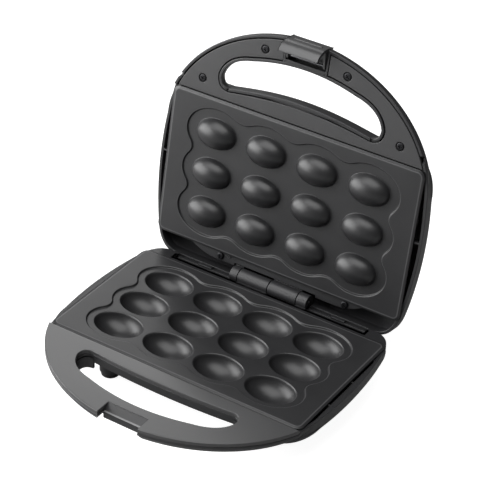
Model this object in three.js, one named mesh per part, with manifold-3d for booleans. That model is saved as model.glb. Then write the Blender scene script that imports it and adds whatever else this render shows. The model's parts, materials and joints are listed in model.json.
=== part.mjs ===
// A hinged countertop cooker for nut-shaped biscuits, standing open.
// Lengths are millimetres and angles degrees. +X is right, +Y goes back to the hinge and +Z is up.
import * as THREE from 'three';
import { mergeVertices } from 'three/addons/utils/BufferGeometryUtils.js';
import Module from 'manifold-3d';

const wasm = await Module();
wasm.setup();

// Cooking plates
const plateWidth = 220;
const plateDepth = 120.5;
const plateHeight = 38; // table to the lower plate's face
const plateGap = 0.6; // between the two plates when shut
const plateCorner = 4;
const plateBevel = 2; // how far the flange slopes out past the face
const plateEdge = 0.5; // drop of that slope
const flangeBottom = 1.9;
const slabThickness = 4;
const slabInset = 2.5; // the slab's side, inside the face's edge
const recessDepth = 1.5;
const columns = 4;
const rows = 3;
const borderX = 18.4; // face's edge to the grid of moulds
const borderY = 10.3;
const landX = 2.4; // half the land between neighbouring moulds
const landY = 2.15;
const cavityDepth = 13;
const cavityWall = 1.8;
const domeInsetX = 2.8; // dome's edge inside the mould's edge
const domeInsetY = 2.3;
const domeHeight = 8.5;
const domeWall = 2;
const scallopRimX = 6.3; // scalloped outline outside the moulds
const scallopRimY = 5.7;
const notchRunX = 8; // half the length of a notch's curve
const notchRunY = 6;
const notchLongShare = 0.634; // depth of the notch's control point, as a share of the scallop
const notchShortShare = 0.664;
const bossRadius = 3.5; // screw bosses under the plate

// Body outline
const sideBulge = 8.5; // widest half width past the plate's edge
const sideEnd = 2.4; // half width past the plate's edge at its corners
const sideMiddle = -2; // where the side is widest
const lowerRear = 15; // lower rim behind the plate's edge
const lowerCorner = 20;
const ledgeGap = 1.5; // between the plate's flange and the ledge at its side
const ledgeBack = 7.6; // back of the ledge behind the plate
const troughDrop = 5.2; // floor behind that ledge, below the plate's face
const troughEnd = 22; // and its end, in from the plate's end
const lidRear = 19.8; // lid's rim behind the plate's edge
const lidCorner = 22;
const wall = 2.5;
const rimDrop = 2.2; // rim below the plate's face
const skirtHeight = 8.3;
const lidDepth = 37;
// Steps of the shell's curve inwards from the skirt, as shares of the plate's height
const bowlInsetShares = [0, 0.079, 0.237, 0.474, 0.737];
const bowlDropShares = [0, 0.22, 0.5, 0.8, 1]; // and down, as shares of its own height
const bowlCorner = 36;

// Handles
const handleMiddle = 28.2; // middle of the handle's ellipse, behind the plate's front edge
const handleReach = 69.75; // plate's edge to the tip
const trayBottom = 9.5;
const trayFloor = 7.3;
const trayChamfer = 3;
const trayChamferRise = 4.2;
const coverThickness = 3;
const coverSeam = 0.6; // cover's back edge to the plate's flange
const gripDepth = 22.7; // slot's outer edge to the tip, in the middle
const slotSide = 39.5; // slot's end, in from the plate's end
const slotFrontSag = 6.4; // fall of the slot's outer edge
const slotFrontSide = 65; // to this place, in from the plate's end
const slotTip = 21.75; // widest place, before the plate's edge
const slotBack = 16.25; // slot's inner edge in the middle
const slotBackSag = 3.1;
const slotBackSide = 47;
const slotStep = 0.4; // shell's front wall behind the slot's edge
const lidRimDrop = 0.5; // lid handle's rim below the plate's face
const lidCoverDrop = 1;
const lidCoverThickness = 2.4;
const lidCoverInset = 3.4;
const coverScrewSide = 22.4; // outer screws, in from the plate's end
const coverScrewMiddle = 36; // inner screws, out from the middle
const coverScrewBefore = 14.25; // outer screws before the plate's edge
const lowerScrewBefore = 20;
const gripScrewBack = 16.6; // inner screws behind the tip
const coverScrewSink = 1.5;
const coverScrewHeadHeight = 1.2;

// Latch
const latchHalf = 17;
const recessBack = 15; // back of the lower recess, behind the tip
const latchFloor = 4.5;
const catchBack = 8.8; // catch wall, behind the tip
const catchBottom = 10.5;
const catchBead = 0.7;
const latchPinBack = 15; // pivot, behind the tip
const latchPinDrop = 2.5; // pivot behind the lid plate's face
const latchPinRadius = 1.1;
const latchWall = 2;
const latchSide = 2;
const latchArm = 3; // radius of the lugs round the pin
const latchFace = 14.5; // outer face in front of the pin
const latchTop = 5.5; // clip's end behind the pin, away from the base
const latchFlat = 3.5; // start of its curve, past the pin
const latchLip = 6.8; // tip of the lip in front of the pin
const latchReach = 16.5; // and past it, towards the base
const latchBulge = 12.5; // pull of the curve
const ridgeHalf = 12;
const ridgeHeight = 0.8;
const ridgeWidth = 2.2;
const latchNotchHalf = 17.6;
const latchWellBack = 5.5; // back of the opening through the handle, behind the tip
const latchEar = 1.8;
const latchSlack = 0.5;

// Hinge
const hingeBack = 14.05; // axis behind the plate's edge
const barrelRadius = 6;
const pinRadius = 2;
const pinBore = 2.3;
const knuckleGap = 0.5;
const knuckleEnds = [-36, -28.5, -0.5, 26, 35.5];
const pinOverhang = 0.6;
const hingeNotchHalf = 37.5;
const hingeNotchDepth = 8.6;
const armDepth = 16;
const openAngle = 100.2;
const stopX = 62;
const stopWidth = 12;
const stopTop = 3.5;
const stopBottom = 6.4;
const stripHalf = 81;
const stripFlat = 55;
const stripBack = 9.75; // strip's back edge, behind the plate's edge
const stripTop = 2.6;
const stripThickness = 2.3;
const stripScrewX = [-51, 64];
const stripScrewBack = 5.8;
const stripBoss = 3.6;

// Inside
const elementRadius = 3.25;
const elementX = 14; // loop inside the plate's edge
const elementY = 6.75;
const elementCorner = 14;
const elementGapHalf = 15;
const elementTail = 7.5;
const reflectorInsetX = 9; // reflector inside the plate's edge
const reflectorInsetY = 2;
const reflectorTop = 9;
const reflectorBottom = 17.5;
const sheet = 1;
const postRadius = 5;
const screwRadius = 1.5;
const screwBore = 1.8;
const screwHead = 3.1;
const screwHeadHeight = 2.4;
const screwTip = 9;
const screwSink = 24.3;
const boreHead = 3.6;
const lidScrewHeadHeight = 1.6;
const thermostatRadius = 8;
const thermostatHeight = 7;
const thermostatFlange = 11;
const thermostatFlangeHeight = 1.5;
const fuseRadius = 2.4;
const fuseLength = 16;
const terminalX = -20;
const terminalBack = 32.25; // in from the plate's rear edge
const terminalWidth = 30;
const terminalDepth = 14;
const terminalShare = 0.657; // of the height under the reflector
const inletSide = 38; // in from the plate's end
const inletDrop = 15;
const inletRadius = 8.6;
const inletDepth = 9;
const inletBore = 6.3;
const grommetRadius = 6;
const grommetFlange = 7.6;
const grommetFlangeDepth = 1.6;
const grommetCord = 3.4;
const lampX = 13;
const lampFront = 26.25; // in from the plate's front edge
const lensRadius = 3.7;
const lensTopShare = 0.7; // flat top, as a share of its radius
const lensFlange = 5;
const lensStand = 0.8;
const lampRadius = 2.6;
const lampTipShare = 0.6;
const lampLength = 13;

// Feet and ribs
const footSide = 44; // in from the plate's end
const footFront = 12.25; // in from the plate's front edge
const footRear = 8.25;
const footRadius = 7.4;
const footHeight = 4;
const footStem = 2.6;
const footStemHeight = 5;
const footBoss = 8.4;
const footBossShare = 0.539; // of the bowl's height
const lowerRibY = [43, 10, -23, -55];
const lidRibY = [-13];
const ribWidth = 1.4;
const ribDepth = 4;

const fitGap = 0.3; // pieces that seat on each other
const overrun = 1; // a cut runs this far past a face

// Places worked out from the sizes above
const halfW = plateWidth / 2;
const halfD = plateDepth / 2;
const pitchX = (plateWidth - 2 * borderX) / columns;
const pitchY = (plateDepth - 2 * borderY) / rows;
const cavityX = pitchX / 2 - landX;
const cavityY = pitchY / 2 - landY;
const hingeY = halfD + hingeBack;
const rimBottom = rimDrop + skirtHeight;
const lowerDepth = plateHeight - footHeight - fitGap;
const bowlInsets = bowlInsetShares.map((share) => share * plateHeight);
const seamY = -halfD - plateBevel - coverSeam;
const slotFront = handleReach - gripDepth;
const slotHalf = halfW - slotSide;
const slotFrontHalf = halfW - slotFrontSide;
const slotBackHalf = halfW - slotBackSide;
const coverScrewX = [halfW - coverScrewSide, coverScrewMiddle];
const coverScrewY = [coverScrewBefore, handleReach - gripScrewBack];
const lowerScrewY = [lowerScrewBefore, handleReach - gripScrewBack];
const latchRecess = handleReach - recessBack;
const catchFront = handleReach - catchBack;
const latchPinReach = handleReach - latchPinBack;
const latchWellReach = handleReach - latchWellBack;
const trayTop = coverThickness + fitGap;
const terminalY = halfD - terminalBack;
const terminalHeight = (lowerDepth - wall - reflectorBottom) * terminalShare;
const inletX = -halfW + inletSide;
const lampY = -halfD + lampFront;
const footX = halfW - footSide;
const footFrontY = -halfD + footFront;
const footRearY = halfD - footRear;
const footBossRise = (lowerDepth - rimBottom) * footBossShare;

// Curves
function rad(degrees) {
  return THREE.MathUtils.degToRad(degrees);
}

function arcRadius(halfChord, sagitta) {
  return (halfChord * halfChord + sagitta * sagitta) / (2 * sagitta);
}

function point(x, y) {
  return new THREE.Vector2(x, y);
}

// Points of an ellipse's arc, both ends included
function arc(x, y, radiusX, radiusY, from, to, steps) {
  const points = [];
  for (let i = 0; i <= steps; i += 1) {
    const angle = rad(from + (to - from) * i / steps);
    points.push(point(x + radiusX * Math.cos(angle), y + radiusY * Math.sin(angle)));
  }
  return points;
}

// Points of a quadratic curve, both ends included
function bend(start, control, end, steps) {
  return new THREE.QuadraticBezierCurve(start, control, end).getPoints(steps);
}

// The right half of an outline, from front to back, and its mirror image
function mirrored(half) {
  const left = half.filter((p) => Math.abs(p.x) > 1e-6).map((p) => point(-p.x, p.y));
  return half.concat(left.reverse());
}

function roundedBox(halfX, halfY, corner, steps) {
  const points = [];
  [[1, -1, -90], [1, 1, 0], [-1, 1, 90], [-1, -1, 180]].forEach(([sx, sy, from]) => {
    points.push(...arc(sx * (halfX - corner), sy * (halfY - corner), corner, corner, from, from + 90, steps));
  });
  return points;
}

// An outline moved outwards by a distance, or inwards by a negative one
function offset(points, distance) {
  const count = points.length;
  return points.map((p, i) => {
    const before = p.clone().sub(points[(i + count - 1) % count]).normalize();
    const after = points[(i + 1) % count].clone().sub(p).normalize();
    const normal = point(before.y + after.y, -before.x - after.x).normalize();
    const spread = Math.max(normal.x * before.y - normal.y * before.x, 0.5);
    return p.clone().addScaledVector(normal, distance / spread);
  });
}

// Solids
function solid(geometry) {
  const bare = geometry.clone();
  bare.deleteAttribute('normal');
  bare.deleteAttribute('uv');
  const merged = mergeVertices(bare);
  const triangles = [];
  for (let i = 0; i < merged.index.count; i += 3) {
    const [a, b, c] = merged.index.array.slice(i, i + 3);
    // A turned shape has flat triangles where it meets its axis
    if (a !== b && b !== c && c !== a) {
      triangles.push(a, b, c);
    }
  }
  return new wasm.Manifold(new wasm.Mesh({
    numProp: 3,
    vertProperties: Float32Array.from(merged.attributes.position.array),
    triVerts: Uint32Array.from(triangles),
  }));
}

// A closed skin through rings of matching outlines, each with a height, from the lowest up
function loftSkin(rings) {
  const positions = [];
  const faces = [];
  rings.forEach(([z, outline]) => outline.forEach((p) => positions.push(p.x, p.y, z)));
  const count = rings[0][1].length;
  for (let r = 0; r < rings.length - 1; r += 1) {
    for (let i = 0; i < count; i += 1) {
      const a = r * count + i;
      const b = r * count + (i + 1) % count;
      faces.push(a, b, b + count, a, b + count, a + count);
    }
  }
  const top = (rings.length - 1) * count;
  THREE.ShapeUtils.triangulateShape(rings[0][1], []).forEach(([a, b, c]) => faces.push(c, b, a));
  THREE.ShapeUtils.triangulateShape(rings[rings.length - 1][1], []).forEach(([a, b, c]) => {
    faces.push(top + a, top + b, top + c);
  });
  const geometry = new THREE.BufferGeometry();
  geometry.setAttribute('position', new THREE.Float32BufferAttribute(positions, 3));
  geometry.setIndex(faces);
  return geometry;
}

function loft(rings) {
  return solid(loftSkin(rings));
}

function prism(outline, low, high) {
  return loft([[low, outline], [high, outline]]);
}

function box(x0, x1, y0, y1, z0, z1) {
  const geometry = new THREE.BoxGeometry(x1 - x0, y1 - y0, z1 - z0);
  return solid(geometry.translate((x0 + x1) / 2, (y0 + y1) / 2, (z0 + z1) / 2));
}

// An outline in Y and Z, carried along X
function across(outline, x0, x1) {
  const turn = new THREE.Matrix4().set(0, 0, 1, 0, 1, 0, 0, 0, 0, 1, 0, 0, 0, 0, 0, 1);
  return solid(loftSkin([[x0, outline], [x1, outline]]).applyMatrix4(turn));
}

// An upright cylinder
function post(x, y, radius, z0, z1, sides = 12) {
  const geometry = new THREE.CylinderGeometry(radius, radius, z1 - z0, sides);
  return solid(geometry.rotateX(rad(90)).translate(x, y, (z0 + z1) / 2));
}

// A cylinder that lies along X
function bar(x0, x1, y, z, radius, sides = 20) {
  const geometry = new THREE.CylinderGeometry(radius, radius, x1 - x0, sides);
  return solid(geometry.rotateZ(rad(90)).translate((x0 + x1) / 2, y, z));
}

// A turned piece: its profile's points are radius and height
function turned(profile, x, y, sides = 14) {
  const geometry = new THREE.LatheGeometry(profile.map(([r, z]) => point(r, z)), sides);
  return solid(geometry.rotateX(rad(90)).translate(x, y, 0));
}

function ellipsoid(x, y, z, halfX, halfY, halfZ, around, up) {
  const geometry = new THREE.SphereGeometry(1, around, up).rotateX(rad(90));
  return solid(geometry.scale(halfX, halfY, halfZ).translate(x, y, z));
}

// An outline drawn in towards its middle, by the same distance on each side
function shrunk(points, inset) {
  const around = new THREE.Box2().setFromPoints(points);
  const centre = around.getCenter(point(0, 0));
  const half = around.getSize(point(0, 0)).multiplyScalar(1 / 2);
  return points.map((p) => point(
    centre.x + (p.x - centre.x) * (half.x - inset) / half.x,
    centre.y + (p.y - centre.y) * (half.y - inset) / half.y,
  ));
}

function union(solids) {
  return solids.reduce((sum, next) => sum.add(next));
}

// Outlines
const sideRadius = arcRadius(halfD, sideBulge - sideEnd);

function sidePoint(y) {
  const across = y - sideMiddle;
  return point(halfW + sideBulge - sideRadius + Math.sqrt(sideRadius ** 2 - across ** 2), y);
}

function sidePoints(from, to, steps) {
  const points = [];
  for (let i = 0; i <= steps; i += 1) {
    points.push(sidePoint(from + (to - from) * i / steps));
  }
  return points;
}

function rearCorner(rear, corner) {
  const start = sidePoint(rear - corner);
  const slope = (start.y - sideMiddle) / sideRadius;
  return bend(start, point(start.x - slope * corner, rear), point(start.x - corner, rear), 4);
}

// Where the bowl's front corner meets its side
const bowlSideY = -halfD - slotBack + slotBackSag + slotStep + bowlCorner;

// The inner edge of the hand slot, from its middle to its end
function slotInner(step) {
  const middle = -halfD - slotBack + step;
  const end = point(slotBackHalf, -halfD - slotBack + slotBackSag + step);
  return bend(point(0, middle), point(slotBackHalf / 2, middle), end, 3);
}

function slotOutline() {
  const inner = slotInner(0).reverse();
  const tip = point(slotHalf, -halfD - slotTip);
  const tipCorner = bend(tip, point(slotHalf, inner[0].y), inner[0], 3);
  const frontEnd = point(slotFrontHalf, -halfD - slotFront + slotFrontSag);
  const frontControl = point(slotFrontHalf / 2, -halfD - slotFront);
  const front = bend(point(0, -halfD - slotFront), frontControl, frontEnd, 3);
  const shoulder = bend(frontEnd, point(slotHalf - plateCorner, frontEnd.y + plateCorner), tip, 4);
  return mirrored([...front, ...shoulder.slice(1), ...tipCorner.slice(1), ...inner.slice(1)]);
}

// The shell's plan: the slot's inner edge in front, bulged sides, a straight back
function bodyOutline(rear, corner) {
  const front = slotInner(slotStep);
  const last = front[front.length - 1];
  const start = sidePoint(bowlSideY);
  const frontCorner = bend(point(start.x - bowlCorner, last.y), point(start.x, last.y), start, 4);
  const side = sidePoints(bowlSideY, rear - corner, 6);
  return mirrored([...front, ...frontCorner, ...side.slice(1), ...rearCorner(rear, corner).slice(1)]);
}

// The handle's plan: an ellipse as wide as the shell, which ends at the cover's seam
const handleCentre = -halfD + handleMiddle;

function handleArc(inset, steps) {
  const reach = handleReach + handleMiddle - inset;
  const end = THREE.MathUtils.radToDeg(Math.asin((seamY - handleCentre) / reach));
  return arc(0, handleCentre, halfW + sideBulge - inset, reach, -90, end, steps);
}

function trayOutline() {
  return mirrored([...handleArc(0, 12), ...sidePoints(seamY, bowlSideY, 3).slice(1)]);
}

function scallopOutline() {
  const radiusX = cavityX + scallopRimX;
  const radiusY = cavityY + scallopRimY;
  const longTurn = THREE.MathUtils.radToDeg(Math.asin((pitchX / 2 - notchRunX) / radiusX));
  const shortTurn = THREE.MathUtils.radToDeg(Math.asin((pitchY / 2 - notchRunY) / radiusY));
  const lastX = (columns - 1) / 2;
  const lastY = (rows - 1) / 2;
  const stops = [];
  for (let c = -lastX; c <= lastX; c += 1) {
    const from = c === -lastX ? 180 - shortTurn : 270 - longTurn;
    stops.push([c, -lastY, from, c === lastX ? 360 + shortTurn : 270 + longTurn]);
  }
  for (let r = -lastY + 1; r < lastY; r += 1) {
    stops.push([lastX, r, -shortTurn, shortTurn]);
  }
  const half = [];
  stops.forEach(([c, r, from, to]) => {
    const steps = Math.round((to - from) / 20);
    half.push({ c, r, points: arc(c * pitchX, r * pitchY, radiusX, radiusY, from, to, steps) });
  });
  const turnedBack = half.map(({ c, r, points }) => (
    { c: -c, r: -r, points: points.map((p) => point(-p.x, -p.y)) }
  ));
  const all = half.concat(turnedBack);
  const outline = [];
  all.forEach(({ c, r, points }, i) => {
    const next = all[(i + 1) % all.length];
    const end = points[points.length - 1];
    const control = next.r === r
      ? point((c + next.c) / 2 * pitchX, r * pitchY + Math.sign(r) * radiusY * notchLongShare)
      : point(c * pitchX + Math.sign(c) * radiusX * notchShortShare, (r + next.r) / 2 * pitchY);
    outline.push(...points, ...bend(end, control, next.points[0], 4).slice(1, -1));
  });
  return outline;
}

function mouldPlaces() {
  const places = [];
  for (let c = 0; c < columns; c += 1) {
    for (let r = 0; r < rows; r += 1) {
      places.push([(c - (columns - 1) / 2) * pitchX, (r - (rows - 1) / 2) * pitchY]);
    }
  }
  return places;
}

// Screw places between four moulds, and those on the lid's middle line
const bossPlaces = [[-1, -1], [1, -1], [-1, 1], [1, 1]].map(([sx, sy]) => [sx * pitchX, sy * pitchY / 2]);
const middlePlaces = [[0, -pitchY / 2], [0, pitchY / 2]];

// Materials
function finish(color, roughness, metalness = 0) {
  return new THREE.MeshStandardMaterial({ color, roughness, metalness, flatShading: true });
}

const shellBlack = finish(0x29292b, 0.5);
const coverGrey = finish(0x5c5d5f, 0.4);
const nonStick = finish(0x2c2c2e, 0.35, 0.2);
const steel = finish(0xa8a9ab, 0.35, 0.9);
const elementSteel = finish(0x6e6c68, 0.5, 0.8);
const rubber = finish(0x1a1a1a, 0.9);
const ceramic = finish(0xe6e2d6, 0.6);
const redLens = finish(0xb3201c, 0.2);
const greenLens = finish(0x1f8a3c, 0.2);
const lampGlass = finish(0xe8c9a8, 0.1);

function piece(name, body, material) {
  const { numProp, vertProperties, triVerts } = body.getMesh();
  const geometry = new THREE.BufferGeometry();
  const positions = new Float32Array(triVerts.length * 3);
  triVerts.forEach((vertex, i) => {
    for (let k = 0; k < 3; k += 1) {
      positions[i * 3 + k] = vertProperties[vertex * numProp + k];
    }
  });
  geometry.setAttribute('position', new THREE.BufferAttribute(positions, 3));
  geometry.computeVertexNormals();
  const mesh = new THREE.Mesh(geometry, material);
  mesh.name = name;
  return mesh;
}

// Cooking plate, with its working face at z 0 and looking up
function plateSlab() {
  const face = roundedBox(halfW, halfD, plateCorner, 3);
  const flange = offset(face, plateBevel);
  const slab = offset(face, -slabInset);
  const body = loft([
    [-slabThickness, slab], [-flangeBottom, slab], [-flangeBottom, flange], [-plateEdge, flange], [0, face],
  ]);
  return body.subtract(prism(scallopOutline(), -recessDepth, overrun));
}

function plateBosses(places) {
  return union(places.map(([x, y]) => {
    const boss = post(x, y, bossRadius, -reflectorBottom + sheet + fitGap, -slabThickness + fitGap);
    return boss.subtract(post(x, y, screwBore, -reflectorBottom, -screwTip + fitGap, 8));
  }));
}

function bumps(inset, depth, around, up, top) {
  return union(mouldPlaces().map(([x, y]) => (
    ellipsoid(x, y, top, cavityX - inset[0], cavityY - inset[1], depth, around, up)
  )));
}

function lowerPlate() {
  const below = box(-halfW, halfW, -halfD, halfD, -reflectorBottom, -recessDepth - fitGap);
  const cups = bumps([-cavityWall, -cavityWall], cavityDepth + cavityWall, 12, 8, 0).intersect(below);
  const hollows = bumps([0, 0], cavityDepth, 16, 8, 0);
  return plateSlab().add(cups).add(plateBosses(bossPlaces)).subtract(hollows);
}

function upperPlate() {
  const above = box(-halfW, halfW, -halfD, halfD, -recessDepth - fitGap, cavityDepth);
  const below = box(-halfW, halfW, -halfD, halfD, -slabThickness - overrun, cavityDepth);
  const rise = domeHeight + recessDepth;
  const domes = bumps([domeInsetX, domeInsetY], rise, 16, 8, -recessDepth).intersect(above);
  const hollowRise = domeHeight + slabThickness - domeWall;
  const insets = [domeInsetX + domeWall, domeInsetY + domeWall];
  const hollows = bumps(insets, hollowRise, 8, 6, -slabThickness).intersect(below);
  return plateSlab().add(domes).add(plateBosses([...bossPlaces, ...middlePlaces])).subtract(hollows);
}

// Tubular heating loop that lies on the back of a plate, open at the hinge side
function heatingElement() {
  const x = halfW - elementX;
  const y = halfD - elementY;
  const c = elementCorner;
  const z = -slabThickness - fitGap - elementRadius;
  const path = new THREE.CurvePath();
  const at = (px, py, pz = z) => new THREE.Vector3(px, py, pz);
  const line = (a, b) => path.add(new THREE.LineCurve3(a, b));
  const corner = (a, b, d) => path.add(new THREE.QuadraticBezierCurve3(a, b, d));
  const e = elementGapHalf;
  const t = elementTail;
  line(at(e, y, z - t), at(e, y, z - elementRadius));
  corner(at(e, y, z - elementRadius), at(e, y), at(e + elementRadius, y));
  line(at(e + elementRadius, y), at(x - c, y));
  corner(at(x - c, y), at(x, y), at(x, y - c));
  line(at(x, y - c), at(x, -y + c));
  corner(at(x, -y + c), at(x, -y), at(x - c, -y));
  line(at(x - c, -y), at(-x + c, -y));
  corner(at(-x + c, -y), at(-x, -y), at(-x, -y + c));
  line(at(-x, -y + c), at(-x, y - c));
  corner(at(-x, y - c), at(-x, y), at(-x + c, y));
  line(at(-x + c, y), at(-e - elementRadius, y));
  corner(at(-e - elementRadius, y), at(-e, y), at(-e, y, z - elementRadius));
  line(at(-e, y, z - elementRadius), at(-e, y, z - t));
  return path;
}

function elementTube() {
  const path = heatingElement();
  const section = new THREE.Shape(arc(0, 0, elementRadius, elementRadius, 0, 300, 5));
  return solid(new THREE.ExtrudeGeometry(section, { steps: 56, bevelEnabled: false, extrudePath: path }));
}

// Sheet-metal tray behind the element
function reflector(places) {
  const outline = roundedBox(halfW - reflectorInsetX, halfD - reflectorInsetY, plateCorner, 2);
  const inside = offset(outline, -sheet);
  const tray = prism(outline, -reflectorBottom, -reflectorTop)
    .subtract(prism(inside, -reflectorBottom + sheet, -reflectorTop + overrun));
  const holes = places.map(([x, y]) => (
    post(x, y, screwBore, -reflectorBottom - overrun, -reflectorTop, 8)
  ));
  return tray.subtract(union(holes));
}

// Shared by both shells: a bowl with a skirt, and the tray of the handle
function shellHull(rear, corner, depth, handleRim) {
  const outline = bodyOutline(rear, corner);
  const inner = offset(outline, -wall);
  const rings = bowlInsets.map((inset, i) => (
    [-rimBottom - bowlDropShares[i] * (depth - rimBottom), shrunk(outline, inset)]
  )).reverse();
  const innerRings = bowlInsets.map((inset, i) => (
    [-rimBottom - bowlDropShares[i] * (depth - wall - rimBottom), shrunk(inner, inset)]
  )).reverse();
  const bowl = loft([...rings, [-rimDrop, outline]]);
  const hollow = loft([...innerRings, [overrun, inner]]);
  const plan = trayOutline();
  const slot = slotOutline();
  const tray = loft([
    [-trayBottom, offset(plan, -trayChamfer)],
    [-trayBottom + trayChamferRise, plan],
    [-Math.min(handleRim, rimDrop), plan],
  ]).subtract(loft([
    [-trayBottom - overrun, offset(slot, trayChamfer)],
    [-trayBottom, offset(slot, trayChamfer)],
    [-trayBottom + trayChamferRise, slot],
    [overrun, slot],
  ])).subtract(box(-plateWidth, plateWidth, seamY, plateDepth, -rimDrop, overrun));
  const pocket = prism(offset(plan, -wall), -trayFloor, overrun)
    .subtract(prism(offset(slot, wall), -trayFloor - overrun, 2 * overrun));
  return { bowl, shell: bowl.add(tray).subtract(hollow).subtract(pocket) };
}

// Short ribs between the rim and the plate's side
function sideRibs(places) {
  const top = -flangeBottom - fitGap;
  return union(places.flatMap((y) => {
    const x0 = halfW - slabInset + fitGap;
    const x1 = sidePoint(y).x - wall / 2;
    const ends = [y - ribWidth / 2, y + ribWidth / 2, top - ribDepth, top];
    return [box(x0, x1, ...ends), box(-x1, -x0, ...ends)];
  }));
}

// Knuckles as x ranges, in turn on the lid and on the base
const knuckles = knuckleEnds.slice(1).map((end, i) => (
  [knuckleEnds[i] + knuckleGap / 2, end - knuckleGap / 2]
));
const lidKnuckles = knuckles.filter((range, i) => i % 2 === 0);
const lowerKnuckles = knuckles.filter((range, i) => i % 2 === 1);

const footPlaces = [
  ['front_left', -footX, footFrontY], ['front_right', footX, footFrontY],
  ['rear_left', -footX, footRearY], ['rear_right', footX, footRearY],
];

function screwPlaces(before) {
  return coverScrewX.flatMap((x, i) => [[-x, -halfD - before[i]], [x, -halfD - before[i]]]);
}

const lowerCoverScrews = screwPlaces(lowerScrewY);
const lidCoverScrews = screwPlaces(coverScrewY);

// How far back the lid's rim stands when the lid is open
function openRimY() {
  const back = halfD + lidRear - hingeY;
  const up = plateGap + rimDrop;
  return hingeY + back * Math.cos(rad(openAngle)) + up * Math.sin(rad(openAngle));
}

// The lower handle's front edge is cut away, with a wall that the latch hooks under
function addCatch(shell) {
  const rim = -halfD - handleReach + wall;
  const front = -halfD - catchFront;
  const half = latchHalf + latchSlack;
  const back = -halfD - slotFront - wall / 2;
  const block = box(-half - wall, half + wall, rim, back, -trayFloor - fitGap, -trayTop);
  const cut = box(-half, half, -plateWidth, front, -plateHeight, overrun);
  const recess = box(-half, half, front, -halfD - latchRecess, -latchFloor, overrun);
  const catchWall = box(-half - fitGap, half + fitGap, front, front + wall,
    -catchBottom, -latchFloor + catchBead);
  return shell.add(block).subtract(cut).subtract(recess).add(catchWall);
}

// A ledge along the plate's sides and back, and behind it a trough for the open lid's edge
function addLedge(shell, rear) {
  const inside = halfD - slabInset + fitGap;
  const back = halfD + ledgeBack;
  const troughHalf = halfW - troughEnd;
  const plan = offset(bodyOutline(rear, lowerCorner), -wall / 2);
  const side = halfW + plateBevel + ledgeGap;
  const floor = -troughDrop - wall;
  const ledge = prism(plan, -rimDrop - wall, -rimDrop)
    .subtract(box(-plateWidth, plateWidth, -plateWidth, seamY + fitGap, -plateHeight, overrun))
    .subtract(box(-side, side, -plateDepth, inside, -plateHeight, overrun));
  const trough = box(-troughHalf, troughHalf, back, rear + overrun, -troughDrop, overrun);
  const liner = prism(plan, floor, -rimDrop)
    .intersect(box(-troughHalf - wall, troughHalf + wall, back - wall, rear, floor, -rimDrop));
  return shell.add(ledge).add(liner).subtract(trough);
}

function lowerHousing() {
  const rear = halfD + lowerRear;
  const floorTop = -lowerDepth + wall;
  let { shell } = shellHull(rear, lowerCorner, lowerDepth, trayTop);
  shell = shell.subtract(box(-plateWidth, plateWidth, -plateWidth, seamY + fitGap, -trayTop, overrun));
  shell = addCatch(shell);
  shell = addLedge(shell, rear);
  // Posts that carry the heating plate, bored for its long screws
  bossPlaces.forEach(([x, y]) => {
    shell = shell.add(post(x, y, postRadius, floorTop - wall / 2, -reflectorBottom - fitGap));
  });
  bossPlaces.forEach(([x, y]) => {
    shell = shell.subtract(post(x, y, screwBore, -plateHeight, 0, 8));
    shell = shell.subtract(post(x, y, boreHead, -plateHeight, -screwSink, 10));
  });
  footPlaces.forEach(([, x, y]) => {
    shell = shell.add(post(x, y, footBoss, -lowerDepth, -lowerDepth + footBossRise, 16));
    const hole = -lowerDepth + footStemHeight + fitGap;
    shell = shell.subtract(post(x, y, footStem + fitGap, -plateHeight, hole, 8));
  });
  lowerCoverScrews.forEach(([x, y]) => {
    shell = shell.subtract(post(x, y, screwBore, -trayBottom - overrun, 0, 8));
    shell = shell.subtract(post(x, y, boreHead, -trayBottom - overrun, -trayBottom + coverScrewSink, 10));
  });
  // Cord inlet
  const tube = new THREE.CylinderGeometry(inletRadius, inletRadius, inletDepth, 16);
  shell = shell.add(solid(tube.translate(inletX, rear - inletDepth / 2, -inletDrop)));
  const bore = new THREE.CylinderGeometry(inletBore, inletBore, 2 * inletDepth + 2 * overrun, 16);
  shell = shell.subtract(solid(bore.translate(inletX, rear, -inletDrop)));
  // Hinge: room for the lid's knuckles, then the base's own, bored for the pin
  lidKnuckles.forEach(([from, to]) => {
    shell = shell.subtract(bar(from - knuckleGap, to + knuckleGap, hingeY, 0, barrelRadius + knuckleGap, 24));
  });
  lowerKnuckles.forEach(([from, to]) => {
    shell = shell.add(bar(from, to, hingeY, 0, barrelRadius));
    shell = shell.add(box(from, to, halfD + ledgeBack, hingeY, -barrelRadius, -rimDrop));
  });
  shell = shell.subtract(bar(-plateWidth, plateWidth, hingeY, 0, pinBore, 12));
  // Stops that the open lid's rim leans on
  [-stopX, stopX].forEach((x) => {
    shell = shell.add(box(x - stopWidth / 2, x + stopWidth / 2, rear - wall, openRimY() - fitGap,
      -stopBottom, -stopTop));
  });
  return shell.add(sideRibs(lowerRibY));
}

// Cover over the lower handle, flush with the plate's face
function lowerCover() {
  const plan = mirrored(handleArc(0, 14));
  let cover = prism(plan, -coverThickness, 0).subtract(prism(slotOutline(), -plateHeight, overrun));
  lowerCoverScrews.forEach(([x, y]) => {
    cover = cover.add(post(x, y, boreHead, -trayFloor + fitGap, -coverThickness + fitGap));
    cover = cover.subtract(post(x, y, screwBore, -trayFloor - overrun, -coverThickness, 8));
  });
  const half = latchHalf + latchSlack;
  return cover.subtract(box(-half, half, -plateWidth, -halfD - latchRecess, -plateHeight, overrun));
}

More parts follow.
